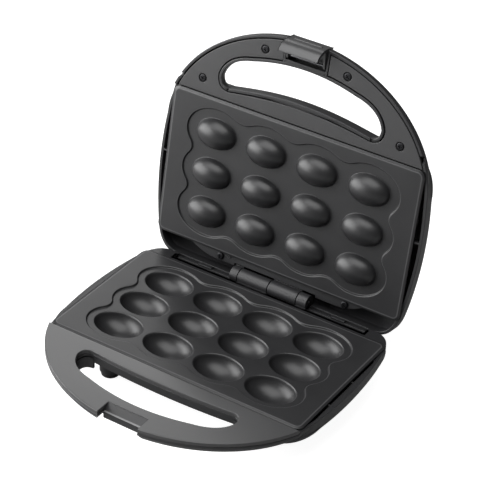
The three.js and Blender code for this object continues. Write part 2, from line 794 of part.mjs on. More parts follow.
// The lid's shell, in the plate's own frame with the face up
function lidHousing() {
  const rear = halfD + lidRear;
  const roof = -lidDepth + wall;
  let { bowl, shell } = shellHull(rear, lidCorner, lidDepth, lidRimDrop);
  shell = shell.subtract(lidCoverRoom());
  // Notch for the latch, with an ear at each end of its pin
  const back = -halfD - latchRecess + latchArm + latchSlack;
  const front = -halfD - handleReach + wall;
  const earHalf = latchNotchHalf + latchEar;
  shell = shell.add(box(-earHalf, earHalf, front, -halfD - slotFront - wall / 2,
    -trayFloor - fitGap, -lidRimDrop));
  shell = shell.subtract(box(-latchNotchHalf, latchNotchHalf, -plateWidth, back, -trayFloor, overrun));
  shell = shell.subtract(box(-latchNotchHalf, latchNotchHalf, -plateWidth, -halfD - latchWellReach,
    -plateHeight, overrun));
  shell = shell.subtract(bar(-earHalf - overrun, earHalf + overrun, -halfD - latchPinReach, -latchPinDrop,
    latchPinRadius + fitGap, 10));
  // Posts for the two screws that hold the plate
  middlePlaces.forEach(([x, y]) => {
    shell = shell.add(post(x, y, postRadius, roof - wall / 2, -reflectorBottom - fitGap));
    shell = shell.subtract(post(x, y, screwBore, -lidDepth - overrun, 0, 8));
    shell = shell.subtract(post(x, y, boreHead, -lidDepth - overrun, -screwSink, 10));
  });
  lidCoverScrews.forEach(([x, y]) => {
    shell = shell.add(post(x, y, boreHead, -trayFloor - fitGap, -lidCoverDrop - lidCoverThickness - fitGap));
    shell = shell.subtract(post(x, y, screwBore, -trayBottom + coverScrewSink, 0, 8));
  });
  [-lampX, lampX].forEach((x) => {
    shell = shell.subtract(post(x, lampY, lensRadius + fitGap, -lidDepth - overrun, roof + overrun));
  });
  // Hinge: the rim is cut away behind the barrel, and the lid's own knuckles reach in
  shell = shell.subtract(box(-hingeNotchHalf, hingeNotchHalf, hingeY - barrelRadius, rear + overrun,
    -hingeNotchDepth, overrun));
  lidKnuckles.map(([from, to]) => [-to, -from]).forEach(([from, to]) => {
    const arm = box(from, to, hingeY - barrelRadius, hingeY + pinRadius, -armDepth, -barrelRadius / 2)
      .add(box(from, to, hingeY - barrelRadius, rear, -armDepth, -hingeNotchDepth));
    shell = shell.add(arm.intersect(bowl)).add(bar(from, to, hingeY, plateGap, barrelRadius));
  });
  shell = shell.subtract(bar(-plateWidth, plateWidth, hingeY, plateGap, pinBore, 12));
  // Bosses under the hinge strip
  const top = -stripTop - stripThickness - fitGap;
  stripScrewX.forEach((x) => {
    const y = halfD + stripScrewBack;
    shell = shell.add(post(-x, y, stripBoss, -lidDepth, top).intersect(bowl));
    shell = shell.subtract(post(-x, y, screwBore, top - screwTip, overrun, 8));
  });
  return shell.add(sideRibs(lidRibY));
}

function lidCoverPlan() {
  return mirrored(handleArc(lidCoverInset, 14));
}

function lidCoverRoom() {
  const bottom = -lidCoverDrop - lidCoverThickness - fitGap;
  return prism(offset(lidCoverPlan(), fitGap), bottom, overrun)
    .subtract(prism(offset(slotOutline(), lidCoverInset - fitGap), bottom - overrun, 2 * overrun));
}

// Inner cover of the lid's handle, set in from its rim and open round the latch
function lidCover() {
  const top = -lidCoverDrop;
  const bottom = top - lidCoverThickness;
  const half = latchNotchHalf + latchEar + fitGap;
  let cover = prism(lidCoverPlan(), bottom, top);
  cover = cover.subtract(prism(offset(slotOutline(), lidCoverInset), bottom - overrun, overrun));
  cover = cover.subtract(box(-half, half, -plateWidth, -halfD - slotFront + slotFrontSag,
    bottom - overrun, overrun));
  lidCoverScrews.forEach(([x, y]) => {
    cover = cover.subtract(post(x, y, screwBore, bottom - overrun, overrun, 8));
    cover = cover.subtract(post(x, y, boreHead, top - coverScrewSink, overrun, 12));
  });
  return cover;
}

// Strip between the lid's plate and its hinge
function hingeStrip() {
  const bottom = -stripTop - stripThickness;
  const back = halfD + stripBack;
  const control = point((stripFlat + stripHalf) / 2, back);
  const curve = bend(point(stripHalf, halfD + plateBevel), control, point(stripFlat, back), 4);
  const plan = mirrored([point(stripHalf, halfD - slabInset + fitGap), ...curve]);
  let strip = prism(plan, bottom, -stripTop);
  strip = strip.subtract(box(-hingeNotchHalf, hingeNotchHalf, hingeY - barrelRadius - knuckleGap,
    hingeY + overrun, bottom - overrun, overrun));
  stripScrewX.forEach((x) => {
    strip = strip.subtract(post(-x, halfD + stripScrewBack, screwBore, bottom - overrun, overrun, 8));
  });
  return strip;
}

// Latch: a curved clip with a lug at each end, hung on its pin
function latchClip() {
  const pinY = -halfD - latchPinReach;
  const at = (points) => points.map((p) => point(p.x + pinY, p.y - latchPinDrop));
  const curve = (inset) => {
    const face = -latchFace + inset;
    const tip = point(-latchLip, latchReach - inset);
    const pull = point(face, latchBulge - inset / 2);
    return [point(face, -latchTop), ...bend(point(face, latchFlat), pull, tip, 8)];
  };
  let clip = across(at([...curve(latchWall), ...curve(0).reverse()]), -latchHalf, latchHalf);
  const ridge = arc(-latchFace, latchFlat - ridgeWidth / 2, ridgeHeight, ridgeWidth / 2, 90, 270, 6);
  clip = clip.add(across(at([...ridge, point(-latchFace + fitGap, latchFlat - ridgeWidth),
    point(-latchFace + fitGap, latchFlat)]), -ridgeHalf, ridgeHalf));
  const web = [
    point(-latchFace + latchWall / 2, latchFlat + latchWall), point(-latchFace + latchWall / 2, -latchArm),
    point(0, -latchArm), point(0, latchArm - latchSlack),
  ];
  [-latchHalf, latchHalf - latchSide].forEach((x) => {
    clip = clip.add(across(at(web), x, x + latchSide));
    clip = clip.add(bar(x, x + latchSide, pinY, -latchPinDrop, latchArm, 20));
  });
  return clip.subtract(bar(-plateWidth, plateWidth, pinY, -latchPinDrop, latchPinRadius + fitGap, 10));
}

// Turned and simple pieces
function screw(x, y, seat, tip, headHeight, headRadius) {
  const end = seat - headHeight;
  const socket = seat - headHeight / 2;
  return turned([
    [0, socket], [screwRadius, socket], [screwRadius, end], [headRadius, end], [headRadius, seat],
    [screwRadius, seat], [screwRadius, tip], [0, tip],
  ], x, y, 8);
}

function foot(x, y) {
  const top = -lowerDepth - fitGap;
  const stemTop = -lowerDepth + footStemHeight;
  const edge = footHeight / 4;
  return turned([
    [0, -plateHeight], [footRadius - edge, -plateHeight], [footRadius, -plateHeight + edge],
    [footRadius, top], [footStem, top], [footStem, stemTop], [0, stemTop],
  ], x, y, 16);
}

function lens(x) {
  const inside = -lidDepth + wall + fitGap;
  return turned([
    [0, -lidDepth - lensStand], [lensRadius * lensTopShare, -lidDepth - lensStand], [lensRadius, -lidDepth],
    [lensRadius, inside], [lensFlange, inside], [lensFlange, inside + lensStand], [0, inside + lensStand],
  ], x, lampY, 16);
}

function lamp(x) {
  const start = -lidDepth + wall + 2 * fitGap + lensStand;
  return turned([
    [0, start], [lampRadius * lampTipShare, start], [lampRadius, start + lampRadius / 2],
    [lampRadius, start + lampLength], [0, start + lampLength],
  ], x, lampY, 12);
}

function grommet() {
  const rear = halfD + lowerRear;
  const face = fitGap + grommetFlangeDepth;
  const profile = [
    [grommetCord, -inletDepth], [grommetRadius, -inletDepth], [grommetRadius, fitGap],
    [grommetFlange, fitGap], [grommetFlange, face], [grommetCord, face],
  ].map(([r, z]) => point(r, z));
  profile.push(profile[0].clone());
  const geometry = new THREE.LatheGeometry(profile, 16);
  return solid(geometry.translate(inletX, rear, -inletDrop));
}

function thermostat() {
  const top = -reflectorBottom - fitGap;
  return turned([
    [0, top - thermostatHeight], [thermostatRadius, top - thermostatHeight],
    [thermostatRadius, top - thermostatFlangeHeight], [thermostatFlange, top - thermostatFlangeHeight],
    [thermostatFlange, top], [0, top],
  ], 0, 0, 20);
}

function thermalFuse() {
  const x = thermostatFlange + fuseLength / 2;
  return bar(x, x + fuseLength, 0, -reflectorBottom - fitGap - fuseRadius, fuseRadius, 12);
}

function terminalBlock() {
  const x0 = terminalX - terminalWidth / 2;
  const y0 = terminalY - terminalDepth / 2;
  const z0 = -lowerDepth + wall + fitGap;
  return box(x0, x0 + terminalWidth, y0, y0 + terminalDepth, z0, z0 + terminalHeight);
}

function hingePin() {
  const last = knuckleEnds.length - 1;
  return bar(knuckleEnds[0] - pinOverhang, knuckleEnds[last] + pinOverhang, hingeY, 0, pinRadius, 12);
}

function latchPin() {
  const half = latchNotchHalf + latchEar / 2;
  return bar(-half, half, -halfD - latchPinReach, -latchPinDrop, latchPinRadius, 10);
}

// Assembly
const base = new THREE.Group();
base.add(
  piece('lower_housing', lowerHousing(), shellBlack),
  piece('lower_handle_cover', lowerCover(), coverGrey),
  piece('lower_plate', lowerPlate(), nonStick),
  piece('lower_heating_element', elementTube(), elementSteel),
  piece('lower_reflector', reflector(bossPlaces), steel),
  piece('thermostat', thermostat(), steel),
  piece('thermal_fuse', thermalFuse(), ceramic),
  piece('terminal_block', terminalBlock(), ceramic),
  piece('cord_grommet', grommet(), rubber),
  piece('hinge_pin', hingePin(), steel),
);
footPlaces.forEach(([name, x, y]) => base.add(piece(`foot_${name}`, foot(x, y), rubber)));
bossPlaces.forEach(([x, y], i) => {
  const body = screw(x, y, -screwSink - fitGap, -screwTip, screwHeadHeight, screwHead);
  base.add(piece(`lower_plate_screw_${i + 1}`, body, steel));
});
lowerCoverScrews.forEach(([x, y], i) => {
  const seat = -trayBottom + coverScrewSink - fitGap;
  const body = screw(x, y, seat, -coverThickness - fitGap, coverScrewHeadHeight, screwHead);
  base.add(piece(`lower_cover_screw_${i + 1}`, body, steel));
});

const lidPieces = new THREE.Group();
lidPieces.add(
  piece('lid_housing', lidHousing(), shellBlack),
  piece('lid_handle_cover', lidCover(), coverGrey),
  piece('upper_plate', upperPlate(), nonStick),
  piece('upper_heating_element', elementTube(), elementSteel),
  piece('upper_reflector', reflector([...bossPlaces, ...middlePlaces]), steel),
  piece('hinge_strip', hingeStrip(), shellBlack),
  piece('latch', latchClip(), coverGrey),
  piece('latch_pin', latchPin(), steel),
  piece('power_lens', lens(-lampX), redLens),
  piece('ready_lens', lens(lampX), greenLens),
  piece('power_lamp', lamp(-lampX), lampGlass),
  piece('ready_lamp', lamp(lampX), lampGlass),
);
bossPlaces.forEach(([x, y], i) => {
  const body = screw(x, y, -reflectorBottom - fitGap, -screwTip, lidScrewHeadHeight, screwHead);
  lidPieces.add(piece(`upper_reflector_screw_${i + 1}`, body, steel));
});
middlePlaces.forEach(([x, y], i) => {
  const body = screw(x, y, -screwSink - fitGap, -screwTip, screwHeadHeight, screwHead);
  lidPieces.add(piece(`upper_plate_screw_${i + 1}`, body, steel));
});

// A screw that goes in from the face side hangs head up
function facingScrew(name, x, y, seat, tip, headHeight) {
  const mesh = piece(name, screw(0, 0, 0, seat - tip, headHeight, screwHead), steel);
  mesh.rotation.y = Math.PI;
  mesh.position.set(x, y, seat);
  return mesh;
}

lidCoverScrews.forEach(([x, y], i) => {
  const seat = -lidCoverDrop - coverScrewSink + fitGap;
  const tip = -trayBottom + coverScrewSink + fitGap;
  lidPieces.add(facingScrew(`lid_cover_screw_${i + 1}`, x, y, seat, tip, coverScrewHeadHeight));
});
stripScrewX.forEach((x, i) => {
  const seat = -stripTop + fitGap;
  const tip = -stripTop - stripThickness - screwTip;
  const y = halfD + stripScrewBack;
  lidPieces.add(facingScrew(`strip_screw_${i + 1}`, -x, y, seat, tip, coverScrewHeadHeight));
});

// The lid's pieces face down on the plate, then swing back about the hinge
lidPieces.rotation.y = Math.PI;
lidPieces.position.set(0, -hingeY, plateGap);
const lid = new THREE.Group();
lid.add(lidPieces);
lid.rotation.x = -rad(openAngle);
lid.position.set(0, hingeY, 0);

// The origin is on the table, under the middle of the open cooker
const cooker = new THREE.Group();
cooker.add(base, lid);
cooker.position.z = plateHeight;
cooker.updateMatrixWorld(true);
const reach = new THREE.Box3().setFromObject(cooker, true);
cooker.position.y = -(reach.min.y + reach.max.y) / 2;
const model = new THREE.Group();
model.add(cooker);

export default model;
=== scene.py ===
# The electric nut cookie maker, standing open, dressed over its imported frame.
# Lengths below are millimetres in the plates' own frame: x right, y back, z up, 0 at the middle of
# the lower plate's face. The lid's pieces are made face up in the same way and then swung open.
import json
import math

import bpy
import numpy as np
from mathutils import Matrix, Vector
from mathutils.geometry import tessellate_polygon

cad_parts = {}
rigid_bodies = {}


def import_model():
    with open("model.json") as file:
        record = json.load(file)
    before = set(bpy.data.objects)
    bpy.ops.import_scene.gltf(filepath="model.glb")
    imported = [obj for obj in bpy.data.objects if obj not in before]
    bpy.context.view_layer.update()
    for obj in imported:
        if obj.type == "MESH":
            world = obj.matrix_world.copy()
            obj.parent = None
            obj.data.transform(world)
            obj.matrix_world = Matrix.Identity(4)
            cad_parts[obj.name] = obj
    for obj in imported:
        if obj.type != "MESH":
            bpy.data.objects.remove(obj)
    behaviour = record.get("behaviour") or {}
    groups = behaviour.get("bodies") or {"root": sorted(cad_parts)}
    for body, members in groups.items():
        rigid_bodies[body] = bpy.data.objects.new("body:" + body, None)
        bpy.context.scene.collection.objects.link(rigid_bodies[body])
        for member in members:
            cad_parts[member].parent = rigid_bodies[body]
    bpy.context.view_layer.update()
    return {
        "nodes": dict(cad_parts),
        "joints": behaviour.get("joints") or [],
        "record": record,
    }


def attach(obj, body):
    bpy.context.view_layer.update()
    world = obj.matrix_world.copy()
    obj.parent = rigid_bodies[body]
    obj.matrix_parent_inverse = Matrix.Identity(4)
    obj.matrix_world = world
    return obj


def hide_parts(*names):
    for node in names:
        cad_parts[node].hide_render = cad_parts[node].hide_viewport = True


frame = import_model()
print("frame loaded:", len(frame["nodes"]), "nodes")

joints = {joint["name"]: joint for joint in frame["joints"]}
hingeAt = np.array(joints["lid_hinge"]["pos_m"]) * 1000

plate = {
    "halfX": 110, "halfY": 60.25, "corner": 4, "bevel": 2, "gap": 0.6, "slab": 4, "slabInset": 2.5,
    "flangeLow": 1.9, "recess": 1.5, "pitchX": 45.8, "pitchY": 33.3, "columns": 4, "rows": 3,
    "cavityX": 20.5, "cavityY": 14.5, "cavityDepth": 13, "cupWall": 1.8,
    "domeX": 17.7, "domeY": 12.2, "domeHeight": 8.5, "domeWall": 2, "scallopX": 26.8, "scallopY": 20.2,
    # the last pair is the band of heights just under the face whose edges get a painted highlight
    "notchX": 8, "notchY": 6, "notchLong": 0.634, "notchShort": 0.664, "paintedHighlightBand": (-0.12, -0.005),
}
body = {
    "bulge": 8.45, "sideEnd": 2.4, "sideMiddle": -2, "wall": 2.5, "rimDrop": 2.2, "skirt": 8.3,
    "insets": [0, 3, 9, 18, 28], "drops": [0, 0.22, 0.5, 0.8, 1],
    "pull": [0, 4.8, 7, 7, 4], "pullX": (50, 95), "pullY": (-35, -65), "frontCorner": 36,
    "lowerRear": 15, "lowerCorner": 20, "lowerDepth": 33.7,
    "lidRear": 19.75, "lidCorner": 22, "lidDepth": 36.95,
    "ledgeSide": 113.5, "ledgeFront": 58.05, "ledgeBack": 67.85, "troughHalf": 88, "troughFloor": -5.2,
}
handle = {
    "middle": 28.2, "reach": 69.62, "low": 9.5, "floor": 7.3, "chamfer": 3, "chamferRise": 4.2, "lipDepth": 6,
    "cover": 3, "seam": 2.6, "slotHalf": 70.5, "slotFront": 47.05, "slotFrontSag": 6.4, "slotFrontHalf": 45,
    "slotTip": 21.75, "slotBack": 16.25, "slotBackSag": 3.1, "slotBackHalf": 63, "slotStep": 0.4,
    "lidSlotBow": 4, "bowFade": [-96, -90, -77, -64], "lidRim": 0.5,
    "lidCoverDrop": 1, "lidCoverThick": 2.4, "lidCoverInset": 3.4,
    "lowerScrews": [(87.6, -80.25), (36, -113.4)], "lidScrews": [(87.6, -74.5), (36, -113.4)],
}
hinge = {
    "y": 74.3, "barrel": 6, "pin": 2, "ends": [-36, -28.5, -0.5, 26, 35.5], "gap": 0.5, "openAngle": 100.2,
    "notchHalf": 37.5, "notchDepth": 8.6, "stopX": 62, "stopWidth": 12,
    "stripScrews": [-51, 64], "stripScrewY": 66.05,
}
gap = 0.3


# Where the base and the lid stand, as 4 x 4 matrices that also turn millimetres into metres
def moved(x, y, z):
    m = np.eye(4)
    m[:3, 3] = x, y, z
    return m


def turned(axis, degrees):
    return np.array(Matrix.Rotation(math.radians(degrees), 4, axis))


basePlace = np.diag([0.001, 0.001, 0.001, 1]) @ moved(0, hingeAt[1] - hinge["y"], hingeAt[2])
lidPlace = (basePlace @ moved(0, hinge["y"], 0) @ turned("X", -hinge["openAngle"])
            @ moved(0, -hinge["y"], plate["gap"]) @ turned("Y", 180))
places = {"base": basePlace, "lid": lidPlace, "latch": lidPlace}


# Flat curves, as arrays of x and y
def arcOf(x, y, radiusX, radiusY, start, end, count):
    # centre plus radius times cosine and sine of an angle that runs from start to end
    t = np.radians(np.linspace(start, end, count))
    return np.column_stack([x + radiusX * np.cos(t), y + radiusY * np.sin(t)])


def curveOf(start, pull, end, count):
    # (1-t)^2 start + 2t(1-t) pull + t^2 end
    t = np.linspace(0, 1, count)[:, None]
    return (1 - t) ** 2 * np.array(start) + 2 * t * (1 - t) * np.array(pull) + t ** 2 * np.array(end)


def mirrorLoop(half):
    # the right half, front to back, and the same points with x turned round
    half = np.asarray(half, float)
    left = half[np.abs(half[:, 0]) > 1e-6][::-1] * [-1, 1]
    return np.vstack([half, left])


def offsetLoop(loop, distance):
    # each point moves out along the mean of its two edges' normals
    before = loop - np.roll(loop, 1, 0)
    after = np.roll(loop, -1, 0) - loop
    before /= np.linalg.norm(before, axis=1, keepdims=True)
    after /= np.linalg.norm(after, axis=1, keepdims=True)
    normal = np.column_stack([before[:, 1] + after[:, 1], -before[:, 0] - after[:, 0]])
    normal /= np.linalg.norm(normal, axis=1, keepdims=True)
    spread = np.maximum(normal[:, 0] * before[:, 1] - normal[:, 1] * before[:, 0], 0.5)
    return loop + normal * (distance / spread)[:, None]


def shrinkLoop(loop, inset):
    # drawn in towards the middle, by the same distance on each side
    low, high = loop.min(0), loop.max(0)
    middle, half = (low + high) / 2, (high - low) / 2
    return middle + (loop - middle) * (half - inset) / half


def roundedBox(halfX, halfY, corner, count=9):
    quarters = [(1, -1, -90), (1, 1, 0), (-1, 1, 90), (-1, -1, 180)]
    x, y = halfX - corner, halfY - corner
    return np.vstack([arcOf(sx * x, sy * y, corner, corner, a, a + 90, count) for sx, sy, a in quarters])


def boxLoop(x0, x1, y0, y1):
    return np.array([[x0, y0], [x1, y0], [x1, y1], [x0, y1]], float)


def ellipse(x, y, halfX, halfY, count=96):
    return arcOf(x, y, halfX, halfY, 0, 360, count + 1)[:-1]


def smoothLine(points, count):
    # a Catmull-Rom curve through the points, count steps between neighbours
    p = np.asarray(points, float)
    ends = np.vstack([2 * p[0] - p[1], p, 2 * p[-1] - p[-2]])
    t = np.linspace(0, 1, count, endpoint=False)[None, :, None]
    a, b, c, d = (ends[i:i + len(p) - 1, None] for i in range(4))
    curve = 0.5 * (2 * b + (c - a) * t + (2 * a - 5 * b + 4 * c - d) * t ** 2
                   + (3 * b - a - 3 * c + d) * t ** 3)
    return np.vstack([curve.reshape(-1, p.shape[1]), p[-1:]])


def softCorners(loop, radius, count=5):
    # each corner becomes a short curve that starts and ends the radius away from it
    loop = np.asarray(loop, float)
    before, after = np.roll(loop, 1, 0) - loop, np.roll(loop, -1, 0) - loop
    spans = [np.minimum(radius / np.linalg.norm(v, axis=1), 0.45)[:, None] * v for v in (before, after)]
    return np.vstack([curveOf(p + a, p, p + b, count) for p, a, b in zip(loop, *spans)])


# A shape is rings of points joined by faces. A ring is (its indices, its points).
def newShape():
    return {"points": [], "count": 0, "faces": []}


def addRing(shape, points, z=None):
    points = np.asarray(points, float)
    if z is not None:
        points = np.column_stack([points, np.full(len(points), float(z))])
    start = shape["count"]
    shape["points"].append(points)
    shape["count"] += len(points)
    return np.arange(start, shape["count"]), points


def addBands(shape, rings, inward=False):
    # faces between each ring and the next
    for (a, _), (b, _) in zip(rings, rings[1:]):
        if inward:
            a, b = b, a
        shape["faces"] += np.column_stack([a, np.roll(a, -1), np.roll(b, -1), b]).tolist()


def addTip(shape, ring, tip, closing=True):
    # a fan that ends a run of rings at one point, or begins it there
    i = addRing(shape, [tip])[0][0]
    a, b = ring[0], np.roll(ring[0], -1)
    fan = [a, b] if closing else [b, a]
    shape["faces"] += np.column_stack(fan + [np.full(len(a), i)]).tolist()


def addCap(shape, outer, holes=(), up=True):
    # a flat face between a ring and its holes, or the disc inside the ring
    rings = [outer, *holes]
    indices = np.concatenate([ring[0] for ring in rings])
    points = np.vstack([ring[1] for ring in rings])
    found = tessellate_polygon([[Vector(p) for p in ring[1]] for ring in rings])
    t = np.array(found, int)
    p, q, r = (points[t[:, k], :2] for k in range(3))
    area = (q[:, 0] - p[:, 0]) * (r[:, 1] - p[:, 1]) - (q[:, 1] - p[:, 1]) * (r[:, 0] - p[:, 0])
    wrong = (area < 0) == up
    t[wrong] = t[wrong][:, ::-1]
    shape["faces"] += indices[t].tolist()


def addChain(shape, loop, profile):
    # one ring for each (distance out, height), each joined to the one before
    rings = [addRing(shape, offsetLoop(loop, out), z) for out, z in profile]
    addBands(shape, rings)
    return rings[0], rings[-1]


def quarterRound(radius, count):
    # from a wall to a face, each point's distance from both: radius times 1 - cosine and 1 - sine
    t = np.linspace(0, math.pi / 2, count + 1)
    return [(radius * (1 - math.cos(a)), radius * (1 - math.sin(a))) for a in t]


def roundUp(z, radius):
    # from a wall up and in to a face at z
    return [(-p, z - q) for p, q in quarterRound(radius, 4)]


def roundOut(z, radius):
    # from an underside at z out and up to a wall
    return [(-q, z + p) for p, q in quarterRound(radius, 3)]


def roundDown(z, radius):
    # from a top face at z down into a hole
    return [(q, z - p) for p, q in quarterRound(radius, 4)]


def roundUnder(z, radius):
    # from a hole's wall out to an underside at z
    return [(p, z + q) for p, q in quarterRound(radius, 3)]


def addSlab(shape, outer, holes, low, high, top=0.5, bottom=0.3):
    # a flat piece with rounded edges, pierced by its holes
    first, last = addChain(shape, outer, roundOut(low, bottom) + roundUp(high, top))
    walls = [addChain(shape, hole, roundDown(high, top) + roundUnder(low, bottom)) for hole in holes]
    addCap(shape, last, [wall[0] for wall in walls])
    addCap(shape, first, [wall[1] for wall in walls], up=False)


def addBlock(shape, x0, x1, y0, y1, z0, z1, edge=0.3):
    addSlab(shape, boxLoop(x0, x1, y0, y1), [], z0, z1, edge, edge)


def addPair(shape, x0, x1, *rest):
    # a block and its mirror image in x
    addBlock(shape, x0, x1, *rest)
    addBlock(shape, -x1, -x0, *rest)


def addCircles(shape, profile, x=0, y=0, count=48):
    # one circle for each (radius, height)
    return [addRing(shape, ellipse(x, y, radius, radius, count), z) for radius, z in profile if radius > 0]


def addTurned(shape, profile, x=0, y=0, count=48):
    # profile is (radius, height), from the axis round the section and back to the axis
    rings = addCircles(shape, profile, x, y, count)
    addBands(shape, rings)
    addTip(shape, rings[0], (x, y, profile[0][1]), closing=False)
    addTip(shape, rings[-1], (x, y, profile[-1][1]))
    return shape


def addTube(shape, profile):
    # a turned piece with a bore: up its outside, over, down the bore and back
    rings = addCircles(shape, profile)
    addBands(shape, rings + rings[:1])
    return shape


def addPost(shape, x, y, radius, low, high, edge=0.3, count=40):
    # an upright cylinder with rounded ends
    side = [(radius + out, z) for out, z in roundOut(low, edge) + roundUp(high, edge)]
    addTurned(shape, [(0, low), *side, (0, high)], x, y, count)


def joinShape(shape, part, matrix):
    # part's points carried by a matrix into shape
    points = np.vstack(part["points"])
    points = points @ matrix[:3, :3].T + matrix[:3, 3]
    start = shape["count"]
    shape["points"].append(points)
    shape["count"] += len(points)
    shape["faces"] += [[i + start for i in face] for face in part["faces"]]


lyingX = np.eye(4)[[2, 0, 1, 3]]  # x, y, z become y, z, x


def addAcross(shape, loop, x0, x1, edge=0.3, holes=()):
    # an outline in y and z, carried along x
    part = newShape()
    addSlab(part, loop, holes, x0, x1, edge, edge)
    joinShape(shape, part, lyingX)


def addBar(shape, x0, x1, y, z, radius, edge=0.4, count=56):
    # a cylinder that lies along x, with rounded ends
    part = newShape()
    addPost(part, y, z, radius, x0, x1, edge, count)
    joinShape(shape, part, lyingX)


def makePiece(name, shape, bodyName, slot, nodes, look=None, place=None, sharp=32, edge=None):
    # edge tells from the points which of them lie on an edge that gets a painted highlight
    points = np.vstack(shape["points"])
    highlightMarks = (edge(points) if edge else np.zeros(len(points))).astype(np.float32)
    if place is None:
        place = places[bodyName]
    points = points @ place[:3, :3].T + place[:3, 3]
    mesh = bpy.data.meshes.new(name)
    mesh.from_pydata(points.tolist(), [], shape["faces"])
    mesh.validate()
    mesh.polygons.foreach_set("use_smooth", [True] * len(mesh.polygons))
    mesh.set_sharp_from_angle(angle=math.radians(sharp))
    mesh.materials.append(material[look or finish[slot]])
    # the edge attribute holds where the material paints a highlight on the edges
    mesh.attributes.new("edge", "FLOAT", "POINT").data.foreach_set("value", highlightMarks)
    piece = bpy.data.objects.new(name, mesh)
    bpy.context.scene.collection.objects.link(piece)
    weigh = piece.modifiers.new("even normals", "WEIGHTED_NORMAL")
    weigh.mode = "FACE_AREA_WITH_ANGLE"
    weigh.weight = 90
    weigh.keep_sharp = True
    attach(piece, bodyName)
    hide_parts(*nodes)


# Camera, floor and light
studio = {
    "floor": 0.4, "floorHalf": 6, "floorGlow": 0.93, "world": 0.14,
    # place, target, width, height, watts
    "left": [(-1.5, -0.8, 0.5), (0, 0.05, 0.1), 1.8, 1.4, 56],
    "above": [(-0.2, -0.5, 1.7), (0, 0, 0), 1.8, 1.5, 30],
    "behind": [(-1.5, 1.5, 1.3), (-1.5, 0, 1.3), 1.2, 1.2, 11.5],
}
view = {
    "lens": 139.2, "azimuth": 31.973, "elevation": 33.822, "roll": -2.268,
    "distance": 1465.282, "right": 24.14, "up": 63.025,
}


def addCamera():
    # the camera's axes from its azimuth, elevation and roll, then its place along them
    a, e, r = (math.radians(view[k]) for k in ("azimuth", "elevation", "roll"))
    back = np.array([math.sin(a) * math.cos(e), -math.cos(a) * math.cos(e), math.sin(e)])
    right = np.array([math.cos(a), math.sin(a), 0])
    axes = np.stack([right, np.cross(back, right), back])
    roll = np.array([[math.cos(r), -math.sin(r), 0], [math.sin(r), math.cos(r), 0], [0, 0, 1]])
    axes = roll @ axes
    place = axes.T @ [view["right"], view["up"], view["distance"]]
    place = basePlace[:3, :3] @ place + basePlace[:3, 3]
    data = bpy.data.cameras.new("camera")
    data.lens = view["lens"]
    data.sensor_width = 36
    data.clip_end = 20
    camera = bpy.data.objects.new("camera", data)
    matrix = np.eye(4)
    matrix[:3, :3] = axes.T
    matrix[:3, 3] = place
    camera.matrix_world = Matrix(matrix.tolist())
    bpy.context.scene.collection.objects.link(camera)
    bpy.context.scene.camera = camera


def addPanel(name, place, target, sizeX, sizeY, power):
    data = bpy.data.lights.new(name, "AREA")
    data.shape = "RECTANGLE"
    data.size, data.size_y = sizeX, sizeY
    data.energy = power
    light = bpy.data.objects.new(name, data)
    light.location = place
    light.rotation_euler = (Vector(target) - Vector(place)).to_track_quat("-Z", "Y").to_euler()
    bpy.context.scene.collection.objects.link(light)


def addStudio():
    half = studio["floorHalf"]
    floorMesh = bpy.data.meshes.new("floor")
    floorMesh.from_pydata([(x, y, 0) for x, y in boxLoop(-half, half, -half, half)], [], [(0, 1, 2, 3)])
    floor = bpy.data.objects.new("floor", floorMesh)
    bpy.context.scene.collection.objects.link(floor)
    white = (1, 1, 1, 1)
    floorMaterial = bpy.data.materials.new("floor")
    floorMaterial.use_nodes = True
    tree = floorMaterial.node_tree
    shader = tree.nodes["Principled BSDF"].inputs
    shader["Base Color"].default_value = (studio["floor"],) * 3 + (1,)
    shader["Roughness"].default_value = 0.9
    shader["Emission Color"].default_value = white
    # the floor glows for the camera alone, so it lights nothing
    glow = multiply(tree, tree.nodes.new("ShaderNodeLightPath").outputs["Is Camera Ray"], studio["floorGlow"])
    tree.links.new(glow, shader["Emission Strength"])
    floorMesh.materials.append(floorMaterial)
    world = bpy.data.worlds.new("studio")
    world.use_nodes = True
    light = world.node_tree.nodes["Background"].inputs
    light["Color"].default_value = white
    light["Strength"].default_value = studio["world"]
    bpy.context.scene.world = world
    for name in ("left", "above", "behind"):
        addPanel("panel " + name, *studio[name])
    bpy.context.scene.view_settings.view_transform = "Standard"


# Materials. The two node groups are shared: a moulded grain, and smears.
def addGroup(name, inputs, outputs):
    # inputs are numbers with their first values, outputs the kinds of their sockets
    tree = bpy.data.node_groups.new(name, "ShaderNodeTree")
    for key, value in inputs.items():
        socket = tree.interface.new_socket(name=key, in_out="INPUT", socket_type="NodeSocketFloat")
        socket.default_value = value
    for key, kind in outputs.items():
        tree.interface.new_socket(name=key, in_out="OUTPUT", socket_type="NodeSocket" + kind)
    return tree, tree.nodes.new("NodeGroupInput").outputs, tree.nodes.new("NodeGroupOutput").inputs


def addNode(tree, kind, sockets={}, **settings):
    # sockets says what feeds each input: another node's output, or a plain value
    node = tree.nodes.new("ShaderNode" + kind)
    for key, value in settings.items():
        setattr(node, key, value)
    for key, source in sockets.items():
        if hasattr(source, "is_output"):
            tree.links.new(source, node.inputs[key])
        else:
            node.inputs[key].default_value = source
    return node.outputs


def multiply(tree, a, b):
    return addNode(tree, "Math", {0: a, 1: b}, operation="MULTIPLY")[0]


def blend(tree, share, a, b):
    return addNode(tree, "Mix", {0: share, 6: a, 7: b}, data_type="RGBA")[2]


def stretch(tree, value, low, high, toLow=0.0, toHigh=1.0):
    return addNode(tree, "MapRange", {"Value": value, "From Min": low, "From Max": high, "To Min": toLow,
                                      "To Max": toHigh})["Result"]


def addNoise(tree, scale, detail, roughness):
    place = addNode(tree, "TexCoord")["Object"]
    return addNode(tree, "TexNoise", {"Vector": place, "Scale": scale, "Detail": detail,
                                      "Roughness": roughness})["Fac"]


